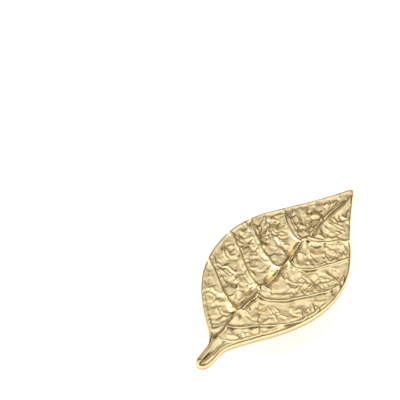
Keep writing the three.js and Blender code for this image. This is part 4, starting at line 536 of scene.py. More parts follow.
    (0.51, 0.29, 0.00, [(1.46, -8.19), (2.57, -8.03), (3.64, -7.80)]),
    (0.58, 0.16, 0.00, [(3.72, -7.64), (4.87, -6.93), (5.84, -5.97), (6.84, -4.74)]),
    (0.88, 0.29, 0.00, [(2.87, -9.66), (3.51, -9.10), (4.36, -8.86)]),
    (0.41, -0.10, 0.00, [(2.38, -8.63), (3.64, -8.10)]),
    (0.53, -0.22, 0.00, [(4.87, -8.11), (5.74, -7.29), (6.81, -6.48)]),
    (0.51, 0.23, 0.00, [(8.65, -7.11), (9.35, -6.35), (9.98, -5.48), (10.31, -4.77)]),
    (0.47, 0.12, 0.00, [(5.45, -8.97), (6.23, -8.32)]),
    (0.70, -0.10, 0.00, [(4.97, -10.03), (6.73, -9.04), (8.59, -7.60), (10.46, -5.58)]),
    (0.50, 0.25, 0.00, [(8.82, -4.37), (9.03, -3.18), (9.71, -2.69), (10.49, -2.65), (10.54, -1.82), (10.61, -0.72)]),
    (0.52, -0.19, 0.00, [(9.37, -4.27), (9.77, -3.36), (10.70, -3.84)]),
    (0.41, 0.16, 0.00, [(9.98, -3.39), (10.70, -3.55)]),
    (0.44, -0.22, 0.00, [(10.89, -2.92), (10.86, -1.37), (10.81, -0.09)]),
    (0.75, -0.19, 0.00, [(10.57, -3.94), (11.23, -3.72)]),
    (0.50, 0.16, 0.00, [(11.70, -4.13), (11.77, -3.03), (11.74, -1.49)]),
    (0.49, 0.20, 0.00, [(12.47, -3.47), (12.84, -2.52)]),
    (0.49, 0.29, 0.00, [(11.86, -0.77), (11.72, 0.34), (11.65, 1.35)]),
    (0.58, 0.25, 0.00, [(10.91, 2.14), (11.92, 1.55)]),
    (0.64, -0.22, 0.00, [(11.91, -1.13), (12.61, -0.36)]),
    (0.67, -0.19, 0.00, [(13.31, -1.69), (14.07, -1.91)]),
    (0.55, 0.27, 0.00, [(9.57, 3.82), (10.74, 3.60), (11.78, 3.56), (12.77, 3.60)]),
    (0.44, -0.13, 0.00, [(9.84, 3.44), (11.19, 3.25), (12.62, 3.24)]),
    (0.67, -0.19, 0.00, [(8.51, 5.41), (9.70, 5.47)]),
    (0.71, -0.22, 0.00, [(10.55, 6.62), (11.05, 7.09)]),
    (0.60, 0.37, 0.00, [(12.04, 6.68), (13.07, 6.48), (13.07, 5.57)]),
    (0.48, -0.19, 0.00, [(12.76, 4.24), (13.03, 5.35), (13.54, 6.41), (13.58, 7.25)]),
    (0.53, -0.19, 0.00, [(14.44, 7.79), (15.40, 8.18), (16.50, 8.66)]),
    (0.58, 0.23, 0.00, [(15.33, 8.87), (16.44, 9.02), (17.35, 9.36)]),
    (0.94, 0.25, 0.00, [(12.97, 8.44), (13.84, 8.66), (14.65, 9.27)]),
    (0.43, -0.13, 0.00, [(15.88, 11.42), (17.23, 10.31)]),
    (0.55, -0.16, 0.00, [(17.06, 12.08), (17.91, 12.33), (18.51, 12.05)]),
    (0.68, 0.29, 0.00, [(15.25, 12.33), (15.77, 12.46), (16.41, 12.42)]),
    (1.00, 0.16, 0.00, [(17.10, 13.52), (17.91, 14.75), (18.26, 16.06)]),
    (0.50, 0.18, 0.00, [(18.35, 7.99), (19.05, 9.37), (19.63, 10.94)]),
    (0.46, 0.33, 0.00, [(20.40, 11.60), (21.14, 10.48), (21.09, 9.65)]),
    (0.41, -0.22, 0.00, [(19.56, 11.39), (19.89, 10.57)]),
    (0.59, 0.29, 0.00, [(18.05, 7.22), (18.72, 7.75)]),
    (0.47, -0.19, 0.00, [(17.05, 6.93), (17.40, 7.31)]),
    (0.41, 0.29, 0.00, [(16.91, 6.33), (17.12, 5.58), (17.84, 5.29)]),
    (0.41, 0.25, 0.00, [(17.79, 6.10), (18.14, 6.49)]),
    (0.53, 0.23, 0.00, [(15.32, 6.45), (16.25, 6.89), (16.66, 7.48)]),
    (0.45, -0.13, 0.00, [(15.57, 5.80), (15.96, 5.83)]),
    (0.46, -0.29, 0.00, [(14.64, 6.17), (14.91, 5.57), (14.71, 4.36), (14.53, 3.43), (14.59, 2.42), (14.53, 1.31), (14.29, 0.77)]),
    (0.52, 0.20, 0.00, [(13.94, 4.88), (14.36, 5.46)]),
    (0.46, 0.33, 0.00, [(14.08, 2.86), (14.03, 2.03), (13.89, 1.04)]),
    (0.41, -0.13, 0.00, [(13.54, 4.29), (13.37, 3.63)]),
    (0.41, 0.16, 0.00, [(15.85, 4.46), (16.56, 4.30), (17.23, 3.91)]),
    (0.53, 0.25, 0.00, [(15.55, 1.58), (15.57, 1.07), (16.15, 0.99), (17.15, 1.32)]),
    (0.42, 0.16, 0.00, [(15.77, 3.07), (16.40, 3.02), (16.49, 2.29)]),
    (0.64, -0.16, 0.00, [(17.35, 3.45), (18.39, 3.72), (19.18, 4.35)]),
    (0.52, -0.16, 0.00, [(17.42, 4.56), (18.22, 5.18), (18.52, 5.95)]),
    (0.41, 0.12, 0.00, [(19.22, 5.48), (19.85, 6.36), (20.45, 7.28)]),
    (0.58, -0.16, 0.00, [(19.23, 7.31), (19.90, 8.13)]),
    (0.52, -0.13, 0.00, [(18.40, 6.12), (18.81, 6.72)]),
    (0.41, 0.25, 0.00, [(13.53, -0.96), (13.38, -0.02)]),
    (0.70, 0.25, 0.00, [(14.74, -1.12), (15.04, -0.37), (15.68, -0.42)]),
    (0.41, 0.12, 0.00, [(13.69, -1.37), (14.70, -1.67), (15.40, -1.51)]),
    (0.44, -0.13, 0.00, [(13.76, -0.56), (14.16, 0.36)]),
    (0.63, -0.26, 0.00, [(1.77, -13.08), (3.07, -13.20), (4.01, -12.79), (5.50, -12.00)]),
    (0.61, -0.32, 0.00, [(2.20, -14.60), (2.24, -14.06)]),
    (0.46, 0.12, 0.00, [(2.62, -13.74), (3.53, -13.88), (5.10, -13.80), (6.12, -12.92)]),
    (0.64, -0.19, 0.00, [(4.42, -14.58), (5.63, -13.97), (6.21, -13.04)]),
    (0.82, -0.16, 0.00, [(6.71, -11.39), (8.19, -10.59), (9.63, -9.72), (11.22, -7.89)]),
    (0.41, 0.08, 0.00, [(8.49, -11.64), (10.39, -10.27), (11.67, -8.57)]),
    (0.46, -0.13, 0.00, [(8.79, -11.46), (10.46, -10.35), (11.76, -8.69), (12.89, -7.36)]),
    (0.80, -0.13, 0.00, [(12.82, -9.05), (14.29, -8.23), (15.02, -6.92), (15.75, -5.61)]),
    (0.41, 0.20, 0.00, [(1.06, -17.97), (1.38, -16.96), (1.70, -15.95)]),
    (0.41, 0.12, 0.00, [(1.66, -17.95), (1.85, -17.05)]),
    (0.41, -0.32, 0.00, [(1.70, -17.70), (1.81, -16.69), (2.00, -15.78)]),
    (0.67, -0.19, 0.00, [(0.86, -19.44), (1.30, -18.60)]),
    (0.65, -0.10, 0.00, [(3.24, -18.77), (3.55, -18.03)]),
    (0.62, 0.25, 0.00, [(1.96, -20.16), (2.68, -20.32), (3.57, -20.55)]),
    (0.44, -0.19, 0.00, [(2.99, -20.75), (4.37, -21.29), (5.72, -21.48), (6.88, -21.10), (7.69, -20.51)]),
    (0.45, 0.16, 0.00, [(2.39, -21.65), (3.66, -22.02), (4.96, -22.45)]),
    (0.41, -0.08, 0.00, [(2.92, -21.82), (4.05, -22.28), (5.26, -22.57)]),
    (0.69, 0.16, 0.00, [(4.47, -17.60), (5.40, -17.19), (6.73, -16.76)]),
    (0.54, -0.16, 0.00, [(4.81, -17.80), (6.03, -17.80), (7.40, -17.74), (8.48, -17.82)]),
    (0.45, 0.20, 0.00, [(7.09, -17.88), (8.21, -17.73), (9.30, -17.55)]),
    (0.55, -0.16, 0.00, [(8.54, -18.79), (9.16, -17.94), (9.43, -17.14)]),
    (0.48, 0.25, 0.00, [(9.24, -21.00), (9.75, -19.98), (10.17, -18.83), (10.37, -17.93)]),
    (0.44, 0.23, 0.00, [(6.87, -13.83), (7.67, -14.29), (8.80, -14.76), (9.88, -15.15)]),
    (0.41, 0.27, 0.00, [(8.07, -13.22), (8.94, -13.89), (9.73, -14.34), (10.44, -14.49)]),
    (0.41, -0.16, 0.00, [(7.73, -13.77), (8.98, -14.41), (9.99, -14.70)]),
    (0.45, 0.27, 0.00, [(8.79, -12.97), (9.62, -13.29), (10.56, -13.48), (11.43, -13.87)]),
    (0.41, -0.13, 0.00, [(8.80, -13.25), (9.88, -13.65), (10.61, -13.84)]),
    (0.49, -0.26, 0.00, [(10.11, -14.71), (10.32, -14.71)]),
    (0.46, 0.27, 0.00, [(9.56, -16.75), (10.23, -16.26), (10.61, -15.33), (10.78, -14.70), (11.26, -14.50), (12.01, -14.71)]),
    (0.41, -0.26, 0.00, [(11.09, -14.66), (11.60, -14.69)]),
    (0.43, 0.27, 0.00, [(11.16, -15.84), (11.75, -16.41), (12.58, -16.91), (13.59, -17.44)]),
    (0.52, -0.19, 0.00, [(9.95, -17.01), (10.69, -16.32)]),
    (0.41, -0.13, 0.00, [(11.26, -16.56), (12.23, -17.10), (12.84, -17.39)]),
    (0.45, 0.16, 0.00, [(10.80, -12.95), (11.73, -12.53), (12.96, -12.24), (13.93, -12.19)]),
    (0.41, 0.20, 0.00, [(11.81, -13.24), (12.83, -13.25), (13.87, -12.99)]),
    (0.41, -0.10, 0.00, [(11.28, -12.74), (12.39, -12.59), (13.62, -12.30)]),
    (0.41, -0.13, 0.00, [(11.93, -13.39), (12.95, -13.40), (13.94, -13.08)]),
    (0.50, 0.33, 0.00, [(12.64, -14.15), (13.41, -14.09), (14.10, -13.93)]),
    (0.79, -0.13, 0.00, [(14.04, -15.01), (14.92, -15.10)]),
    (0.42, 0.27, 0.00, [(13.40, -9.62), (14.11, -10.37), (14.79, -10.89)]),
    (0.41, -0.13, 0.00, [(14.18, -9.85), (14.82, -10.39)]),
    (0.58, 0.23, 0.00, [(14.29, -9.74), (15.15, -10.11), (15.75, -9.51), (16.08, -8.81)]),
    (0.51, -0.16, 0.00, [(14.42, -11.70), (14.85, -11.14)]),
    (0.46, 0.25, 0.00, [(15.43, -11.42), (16.17, -11.02)]),
    (0.46, 0.25, 0.00, [(16.68, -10.58), (17.07, -10.39)]),
    (0.41, -0.16, 0.00, [(16.36, -10.51), (16.07, -9.97)]),
    (0.52, -0.29, 0.00, [(15.62, -11.67), (16.02, -11.37)]),
    (0.41, -0.13, 0.00, [(16.23, -9.60), (16.56, -9.50)]),
    (0.44, 0.12, 0.00, [(14.33, -14.26), (14.91, -13.33), (15.35, -12.49)]),
    (0.68, 0.25, 0.00, [(15.81, -14.64), (15.74, -13.95), (16.49, -13.28), (17.49, -12.37)]),
    (0.65, -0.19, 0.00, [(18.20, -12.21), (19.17, -11.57), (18.97, -10.36)]),
    (0.43, 0.10, 0.00, [(17.93, -10.04), (18.94, -10.04)]),
    (0.51, -0.22, 0.00, [(18.84, -9.87), (17.81, -8.65), (17.42, -7.17), (17.40, -5.65)]),
    (0.42, 0.23, 0.00, [(19.01, -8.95), (18.51, -8.33), (18.27, -7.25), (18.33, -6.44)]),
    (0.45, 0.25, 0.00, [(19.04, -6.90), (19.60, -7.73)]),
    (0.41, -0.19, 0.00, [(18.71, -7.70), (18.38, -7.10)]),
    (0.41, -0.16, 0.00, [(17.74, -4.36), (18.62, -5.48), (19.48, -6.34)]),
    (0.41, 0.31, 0.00, [(18.28, -4.16), (19.10, -5.07), (20.10, -6.08)]),
    (0.41, -0.22, 0.00, [(19.34, -4.15), (20.20, -5.01), (20.59, -5.88)]),
    (0.43, 0.20, 0.00, [(19.81, -4.26), (20.75, -4.65), (21.17, -5.28)]),
    (0.58, -0.19, 0.00, [(19.07, -3.33), (20.07, -3.31), (21.14, -3.71)]),
    (0.42, 0.10, 0.00, [(17.64, -5.43), (16.82, -4.51), (17.26, -3.66)]),
    (0.65, -0.13, 0.00, [(19.92, -7.59), (20.41, -6.52)]),
    (0.58, 0.33, 0.00, [(19.95, -10.05), (20.58, -10.39)]),
    (0.43, 0.16, 0.00, [(20.58, -10.39), (21.04, -9.28), (21.52, -7.90), (21.85, -6.89)]),
    (0.61, 0.33, 0.00, [(18.88, -2.77), (19.73, -2.52), (20.36, -1.66), (20.79, -0.79), (21.04, 0.34), (20.77, 1.17)]),
    (0.58, -0.32, 0.00, [(18.06, -1.52), (18.97, -1.08), (19.70, -0.35), (20.08, 0.58)]),
    (0.41, 0.16, 0.00, [(18.70, -0.99), (19.38, -0.20), (19.88, 0.56)]),
    (0.52, -0.22, 0.00, [(17.95, -0.46), (18.63, 0.33), (19.18, 1.33), (19.76, 1.37)]),
    (0.70, -0.10, 0.00, [(17.58, -2.31), (16.70, -2.82)]),
    (0.52, 0.33, 0.00, [(21.62, -3.55), (22.25, -2.69), (22.60, -1.40), (22.69, -0.02), (22.62, 0.98)]),
    (0.45, -0.29, 0.00, [(21.54, -4.01), (21.99, -3.17), (22.71, -2.14), (22.94, -0.67), (22.93, 1.16), (22.76, 2.62), (22.28, 4.12), (21.76, 5.33)]),
    (0.44, -0.13, 0.00, [(22.00, -1.07), (22.07, 0.03), (21.86, 0.94)]),
    (0.65, -0.29, 0.00, [(20.73, 5.07), (21.34, 4.15), (22.04, 3.69)]),
    (0.41, 0.27, 0.00, [(8.80, -23.30), (9.15, -23.05), (9.73, -23.60), (10.40, -24.64), (10.85, -25.52)]),
    (0.41, -0.19, 0.00, [(8.62, -23.62), (9.01, -23.43)]),
    (0.41, -0.26, 0.00, [(9.62, -22.73), (10.37, -23.64), (11.04, -24.91)]),
    (0.59, 0.33, 0.00, [(10.77, -23.82), (11.61, -24.46), (12.26, -24.53)]),
    (0.49, 0.20, 0.00, [(9.29, -24.90), (9.45, -24.54)]),
    (0.61, -0.19, 0.00, [(9.09, -26.06), (9.61, -25.94), (9.67, -25.14)]),
    (0.52, -0.22, 0.00, [(5.76, -26.81), (6.61, -26.58), (7.39, -25.95), (8.29, -25.19)]),
    (0.41, 0.16, 0.00, [(6.72, -26.17), (7.60, -25.67), (8.33, -24.98)]),
    (0.41, 0.16, 0.00, [(5.57, -26.67), (5.95, -26.63)]),
    (0.57, -0.19, 0.00, [(4.36, -26.84), (5.28, -25.82), (6.17, -24.77)]),
    (0.63, -0.22, 0.00, [(2.01, -29.30), (2.69, -28.81), (3.24, -28.15)]),
    (0.62, -0.26, 0.00, [(3.05, -29.04), (4.15, -28.88), (5.00, -28.35)]),
    (0.46, 0.25, 0.00, [(4.15, -28.60), (4.87, -28.17)]),
    (0.50, 0.08, 0.00, [(1.78, -30.44), (2.57, -30.11), (3.72, -30.01), (4.75, -29.74)]),
    (0.52, -0.19, 0.00, [(2.01, -31.05), (2.70, -30.30), (3.44, -29.90)]),
    (0.74, 0.27, 0.00, [(3.06, -31.39), (3.97, -30.96), (4.82, -30.42), (5.79, -30.08)]),
    (0.48, -0.16, 0.00, [(1.92, -32.37), (1.84, -31.68)]),
    (0.49, -0.16, 0.00, [(1.69, -33.79), (1.67, -33.30)]),
    (0.41, 0.29, 0.00, [(6.26, -27.54), (6.85, -27.93)]),
    (0.52, 0.29, 0.00, [(7.32, -26.85), (7.86, -26.94)]),
    (0.41, -0.22, 0.00, [(7.13, -27.03), (7.84, -27.48), (8.68, -27.52)]),
    (0.76, -0.32, 0.00, [(6.70, -29.05), (7.24, -29.24)]),
    (0.51, 0.33, 0.00, [(7.96, -29.25), (8.55, -29.10), (9.01, -28.72)]),
    (0.51, 0.27, 0.00, [(9.79, -27.40), (10.47, -26.92), (11.15, -26.14)]),
    (0.45, -0.19, 0.00, [(9.18, -28.54), (9.87, -27.79), (11.04, -26.56), (11.57, -25.57)]),
    (0.41, -0.19, 0.00, [(8.14, -29.68), (8.89, -29.00)]),
    (0.57, 0.25, 0.00, [(2.64, -34.28), (3.69, -33.47), (4.86, -32.83), (6.07, -32.23), (7.11, -31.40), (7.64, -30.71)]),
    (0.51, -0.16, 0.00, [(3.32, -34.68), (4.73, -33.80), (6.06, -32.79), (6.75, -32.04), (7.40, -31.23)]),
    (0.70, 0.16, 0.00, [(11.52, -22.27), (11.84, -21.55)]),
    (0.52, -0.16, 0.00, [(12.23, -22.40), (12.37, -21.43)]),
    (0.58, 0.25, 0.00, [(13.07, -21.58), (13.74, -21.68)]),
    (0.57, -0.13, 0.00, [(13.59, -22.34), (14.15, -21.68)]),
    (0.61, 0.16, 0.00, [(14.68, -20.40), (14.88, -20.10)]),
    (0.52, 0.12, 0.00, [(14.88, -18.92), (15.53, -18.40)]),
    (0.52, -0.13, 0.00, [(9.67, -22.21), (10.63, -21.25), (12.20, -20.00), (13.85, -18.86)]),
    (0.48, -0.13, 0.00, [(9.76, -22.63), (10.18, -22.66)]),
    (0.41, -0.16, 0.00, [(1.24, -27.60), (2.74, -26.26), (4.18, -24.82), (5.68, -23.48)]),
    (0.41, -0.16, 0.00, [(2.36, -28.05), (4.35, -26.25), (6.82, -23.95)]),
    (0.46, -0.16, 0.00, [(9.19, -20.92), (10.72, -19.61), (12.26, -18.32)]),
    (0.41, -0.10, 0.00, [(1.87, -11.45), (3.33, -11.20), (4.93, -10.58), (6.77, -9.69), (8.95, -8.13)]),
    (0.47, -0.10, 0.00, [(4.93, 4.98), (6.67, 5.42), (8.44, 6.43), (10.08, 7.62)]),
    (0.41, -0.16, 0.00, [(5.24, 5.73), (6.51, 6.27), (7.91, 7.22), (9.20, 8.32)]),
    (0.41, -0.16, 0.00, [(2.25, -46.73), (2.22, -45.99), (2.13, -45.11)]),
    (0.56, -0.19, 0.00, [(-1.49, -34.75), (-1.84, -33.96), (-2.10, -33.01)]),
    (0.41, 0.08, 0.00, [(1.83, 2.02), (1.98, -0.00), (1.99, -2.12), (1.74, -4.14), (1.37, -5.99)]),
    (0.42, 0.16, 0.00, [(2.37, 27.75), (2.51, 29.14), (2.76, 30.62), (2.82, 32.01)]),
    (0.59, -0.45, 0.00, [(-0.12, 29.41), (0.34, 33.66), (1.33, 38.36), (1.77, 40.63)]),
    (0.44, -0.61, 0.00, [(1.50, 16.42), (1.03, 16.08), (1.29, 14.48), (1.65, 12.74), (1.83, 11.25), (2.12, 10.22)]),
    (0.45, -0.61, 0.00, [(2.15, 3.97), (2.11, 1.80), (2.19, 0.48), (2.63, -1.54), (2.80, -3.17), (2.37, -4.15), (2.31, -5.25), (2.26, -6.19), (2.31, -7.04)]),
    (0.47, -0.48, 0.00, [(2.04, -14.19), (1.78, -15.58), (1.79, -17.12), (1.42, -18.78), (0.93, -19.65)]),
    (0.41, 0.20, 0.00, [(2.25, 8.19), (2.36, 7.25), (2.44, 6.35)]),
    (0.41, -0.64, 0.00, [(2.25, 20.78), (2.11, 21.61), (1.82, 23.44), (1.68, 25.31), (1.47, 27.04), (1.46, 28.70), (1.81, 30.64), (2.08, 32.53), (2.15, 34.46), (2.41, 36.54), (2.49, 38.74), (2.28, 40.48), (2.17, 42.07), (2.19, 43.53)]),
    (0.46, -0.45, 0.00, [(2.40, -45.96), (2.59, -43.58), (2.70, -41.61), (3.10, -40.26), (3.33, -38.63), (3.39, -36.91), (3.84, -35.12)]),
    (0.45, -0.13, 0.00, [(5.58, -32.97), (7.69, -30.77), (8.47, -29.39), (9.89, -27.52)]),
]
# lumps and hollows: x, y, half sizes, turn, height
LUMPS = [
    (-13.53, -18.37, 0.30, 0.39, 0.61, 0.21),
    (-4.38, -25.72, 0.30, 0.47, 0.61, 0.21),
    (-3.66, -31.37, 0.30, 0.42, 0.61, 0.13),
    (-19.47, -12.13, 0.47, 1.04, 0.61, 0.10),
    (-11.49, -9.10, 0.34, 0.43, 0.61, 0.26),
    (-10.70, -13.38, 0.47, 0.56, 0.61, 0.17),
    (-7.97, -14.94, 0.95, 2.14, 0.84, 0.17),
    (-6.74, -0.41, 1.42, 1.57, 0.61, 0.30),
    (-11.76, 9.89, 0.68, 0.97, 0.61, 0.13),
    (-13.66, 14.96, 0.31, 0.40, 0.61, 0.26),
    (-14.38, 14.20, 0.27, 0.36, 0.61, 0.17),
    (-6.52, 6.45, 1.54, 1.57, 0.39, 0.26),
    (-11.06, 20.97, 0.55, 0.89, 0.61, 0.13),
    (-9.52, 17.50, 0.89, 1.33, 0.61, 0.13),
    (-7.81, 27.76, 1.37, 1.43, 0.61, 0.21),
    (-2.25, 21.96, 0.59, 0.55, -0.04, 0.17),
    (-0.06, 21.94, 0.34, 0.44, 0.61, 0.17),
    (-2.13, 18.74, 0.75, 0.97, 0.61, 0.17),
    (-2.64, 28.55, 1.29, 1.30, 1.05, 0.51),
    (8.94, 30.11, 0.96, 1.42, 0.61, 0.17),
    (6.73, 16.25, 1.70, 0.62, 0.61, -0.09),
    (9.67, 16.10, 0.47, 0.53, 0.61, 0.21),
    (11.12, 16.38, 0.41, 0.61, 0.61, 0.17),
    (10.41, 12.57, 0.85, 0.70, 0.61, 0.10),
    (4.63, 9.05, 1.43, 1.13, 0.39, -0.13),
    (18.27, 10.87, 1.15, 1.04, 0.61, -0.30),
    (2.49, -18.56, 0.33, 0.49, 1.25, 0.38),
    (6.34, -19.74, 1.79, 1.50, 0.18, 0.30),
    (6.94, -13.94, 0.33, 0.56, 0.61, 0.17),
    (13.02, -15.89, 0.67, 0.98, 0.61, 0.21),
    (16.70, -12.39, 1.00, 0.68, 0.61, 0.09),
    (21.02, 2.79, 0.67, 1.08, 0.61, 0.09),
    (2.53, -32.78, 0.37, 0.38, 0.61, 0.21),
    (6.05, -28.58, 0.30, 0.46, 0.61, 0.38),
    (1.48, -46.73, 0.33, 0.42, 0.61, 0.13),
    (-2.93, -12.18, 2.16, 1.37, 1.57, -1.10),
    (-0.04, -3.32, 2.00, 1.21, 1.60, -1.02),
    (1.78, -16.06, 1.24, 0.92, 1.51, 0.34),
    (-3.26, -17.60, 2.46, 1.15, 1.75, -0.77),
    (-0.52, -20.39, 1.21, 0.78, 1.43, -0.42),
    (-0.87, 10.52, 2.48, 1.26, 1.68, -1.02),
    (-9.32, -11.81, 1.68, 2.59, 0.61, -0.59),
    (-16.63, -6.63, 1.69, 1.75, 0.61, -0.51),
    (-8.18, -1.00, 1.35, 2.18, 0.61, -0.59),
    (-15.71, 5.74, 1.36, 2.43, 0.61, -0.51),
    (-12.45, 11.21, 1.53, 2.43, 0.61, -0.51),
    (-11.37, 17.49, 1.54, 2.22, 0.61, -0.59),
    (-5.60, 7.22, 1.70, 1.76, 0.61, -0.42),
    (-3.44, 24.05, 1.88, 2.67, 0.61, -0.68),
    (-2.88, 31.20, 1.80, 1.74, 1.05, -0.68),
    (4.93, 31.84, 1.54, 2.01, 0.61, -0.51),
    (4.89, 24.50, 1.53, 1.33, 0.61, -0.42),
    (7.07, 15.13, 2.20, 1.40, 0.61, -0.51),
    (13.03, 19.67, 1.53, 1.54, 0.61, -0.42),
    (6.34, 11.35, 1.69, 1.40, 0.61, -0.34),
    (7.84, 0.68, 1.68, 1.73, 0.61, -0.51),
    (13.30, 4.64, 1.85, 1.73, 0.61, -0.42),
    (16.72, 10.45, 1.69, 1.74, 0.61, -0.42),
    (6.93, -5.76, 1.51, 1.21, 0.61, -0.34),
    (5.56, -15.06, 2.37, 1.53, 0.83, -0.51),
    (12.01, -11.44, 2.01, 1.71, 0.61, -0.42),
    (16.52, -5.54, 2.01, 1.71, 0.61, -0.42),
    (-8.48, -23.02, 1.34, 1.93, 0.61, -0.34),
    (-4.32, -28.37, 1.33, 1.70, 0.61, -0.34),
    (1.54, -23.95, 1.54, 1.14, 1.51, 0.42),
    (7.35, -25.89, 2.01, 0.93, 0.75, -0.34),
    (12.80, -20.87, 2.01, 0.93, 0.75, -0.30),
]


def smooth(points, step):
    """Evenly spaced points on a centripetal Catmull-Rom curve."""
    p = np.asarray(points, float)
    if len(p) == 2:
        n = max(2, int(round(np.linalg.norm(p[1] - p[0]) / step)))
        t = np.linspace(0, 1, n + 1)[:, None]
        return p[0] * (1 - t) + p[1] * t
    a = np.vstack([2 * p[0] - p[1], p, 2 * p[-1] - p[-2]])
    out = []
    for i in range(1, len(a) - 2):
        p0, p1, p2, p3 = a[i - 1], a[i], a[i + 1], a[i + 2]
        t1 = max(np.linalg.norm(p1 - p0), 1e-6) ** 0.5
        t2 = t1 + max(np.linalg.norm(p2 - p1), 1e-6) ** 0.5
        t3 = t2 + max(np.linalg.norm(p3 - p2), 1e-6) ** 0.5
        t = np.linspace(t1, t2, 13)[:-1, None]
        a1 = (t1 - t) / t1 * p0 + t / t1 * p1
        a2 = (t2 - t) / (t2 - t1) * p1 + (t - t1) / (t2 - t1) * p2
        a3 = (t3 - t) / (t3 - t2) * p2 + (t - t2) / (t3 - t2) * p3
        b1 = (t2 - t) / t2 * a1 + t / t2 * a2
        b2 = (t3 - t) / (t3 - t1) * a2 + (t - t1) / (t3 - t1) * a3
        out.append((t2 - t) / (t2 - t1) * b1 + (t - t1) / (t2 - t1) * b2)
    c = np.vstack(out + [p[-1:]])
    s = np.r_[0, np.cumsum(np.linalg.norm(np.diff(c, axis=0), axis=1))]
    u = np.linspace(0, s[-1], max(2, int(round(s[-1] / step))) + 1)
    return np.c_[np.interp(u, s, c[:, 0]), np.interp(u, s, c[:, 1])]


def nearest(points, line, closed=False):
    """Distance to a polyline, which side of it (signed distance from its nearest stretch), and place along it, 0 to 1."""
    a = np.asarray(line)
    b = np.roll(a, -1, 0) if closed else a[1:]
    a = a if closed else a[:-1]
    d = b - a
    l2 = (d ** 2).sum(1)
    far, side, at = np.empty(len(points)), np.empty(len(points)), np.empty(len(points))
    for i in range(0, len(points), 4000):
        v = points[i:i + 4000, None, :] - a[None]
        t = np.clip((v * d).sum(2) / l2, 0, 1)
        w = v - t[..., None] * d
        q = (w ** 2).sum(2)
        k = q.argmin(1)
        r = np.arange(len(k))
        far[i:i + 4000] = np.sqrt(q[r, k])
        side[i:i + 4000] = (d[k, 0] * v[r, k, 1] - d[k, 1] * v[r, k, 0]) / np.sqrt(l2[k])
        at[i:i + 4000] = (k + t[r, k]) / len(a)
    return far, side, at


def ease(a, b, v):
    t = np.clip((v - a) / (b - a), 0, 1)
    return t * t * (3 - 2 * t)


def outline_at(step):
    r, l = smooth(RIGHT_MARGIN, step), smooth(LEFT_MARGIN, step)
    return np.vstack([r, l[::-1][1:-1]])


OUTLINE = outline_at(0.35)


def margin_distance(points):
    """Distance to the outline, exact near it and from a coarser outline far inside."""
    d, _, _ = nearest(points, outline_at(2.0), closed=True)
    close = d < 4.0
    if close.any():
        d[close] = nearest(points[close], OUTLINE, closed=True)[0]
    return d


def field(d):
    """Height of the face without its veins: rounded rim, small step down from the rim's bead, rising field."""
    u = np.clip(d, 0, RIM_RADIUS)
    h = RIM_TOP - RIM_RADIUS + np.sqrt(np.maximum(0, RIM_RADIUS ** 2 - (RIM_RADIUS - u) ** 2))
    h = h - BEAD_DROP * ease(RIM_RADIUS, BEAD_WIDTH, d)
    return h + DOME * (1 - np.exp(-np.maximum(0, d - RIM_RADIUS) / DOME_REACH))


def stroke_parts(points, line, width):
    """How much a ridge along the line lifts each nearby point, and its one-sided part: indices, ridge, lean, place along."""
    lo, hi = line.min(0) - 2.7 * width, line.max(0) + 2.7 * width
    k = np.nonzero((points[:, 0] > lo[0]) & (points[:, 0] < hi[0]) & (points[:, 1] > lo[1]) & (points[:, 1] < hi[1]))[0]
    if not len(k):
        return k, None, None, None
    v, s, t = nearest(points[k], line)
    g = np.exp(-(v / width) ** 2)
    return k, g, 1.5 * s / width * g, t


def relief(points):
    """Height of the veins and of the small ridges, grooves and lumps between them."""
    h = np.zeros(len(points))
    for line, width, heights, leans in VEINS:
        k, g, l, t = stroke_parts(points, smooth(line, 0.5), width)
        if len(k):
            u = np.linspace(0, 1, len(heights))
            h[k] += np.interp(t, u, heights) * g + np.interp(t, u, leans) * l
    for width, height, lean, line in STROKES:
        k, g, l, t = stroke_parts(points, smooth(line, 0.25), width)
        if len(k):
            h[k] += height * g + lean * l
    for x, y, rx, ry, turn, height in LUMPS:
        dx, dy = points[:, 0] - x, points[:, 1] - y
        k = np.nonzero(np.hypot(dx, dy) < 2.7 * max(rx, ry))[0]
        c, s = math.cos(turn), math.sin(turn)
        a, b = dx[k] * c + dy[k] * s, -dx[k] * s + dy[k] * c
        h[k] += height * np.exp(-(a / rx) ** 2 - (b / ry) ** 2)
    return h


# small uneven pads all over the face, each tipped its own way, as a cast leaf has between its veins
PAD_GAP, PAD_TILT, PAD_RISE = 2.7, 0.085, 0.05
rng = np.random.default_rng(21)
pads = []
for pad_row, pad_y in enumerate(np.arange(-34, 46, PAD_GAP * 0.87)):
    for pad_x in np.arange(-24, 24, PAD_GAP):
        pads.append((pad_x + (pad_row % 2) * PAD_GAP / 2 + rng.uniform(-0.38, 0.38) * PAD_GAP, pad_y + rng.uniform(-0.38, 0.38) * PAD_GAP,
                     rng.normal(0, PAD_TILT), rng.normal(0, PAD_TILT), rng.normal(0, PAD_RISE)))
pads = np.array(pads)


def uneven(points):
    """Pads blended into one another, fading out by the veins and on the stem."""
    h, total = np.zeros(len(points)), np.full(len(points), 1e-6)
    for x, y, sx, sy, rise in pads:
        k = np.nonzero((np.abs(points[:, 0] - x) < 3.4) & (np.abs(points[:, 1] - y) < 3.4))[0]
        if len(k):
            dx, dy = points[k, 0] - x, points[k, 1] - y
            w = np.exp(-2.6 * (dx * dx + dy * dy) / (0.45 * PAD_GAP ** 2))
            total[k] += w
            h[k] += w * (rise + sx * dx + sy * dy)
    fade = ease(-36, -30, points[:, 1])
    for i, (line, width, heights, leans) in enumerate(VEINS):
        if width > 1.2:
            line = smooth(line, 0.5)
            k = stroke_parts(points, line, 1.2)[0]
            fade[k] *= ease(*((1.4, 3.0) if i == 0 else (0.4, 1.5)), nearest(points[k], line)[0])
    return h / total * fade


def face_height(points):
    d = margin_distance(points)
    return field(d) + relief(points) * ease(0.15, 1.3, d) + uneven(points) * ease(0.9, 2.4, d)


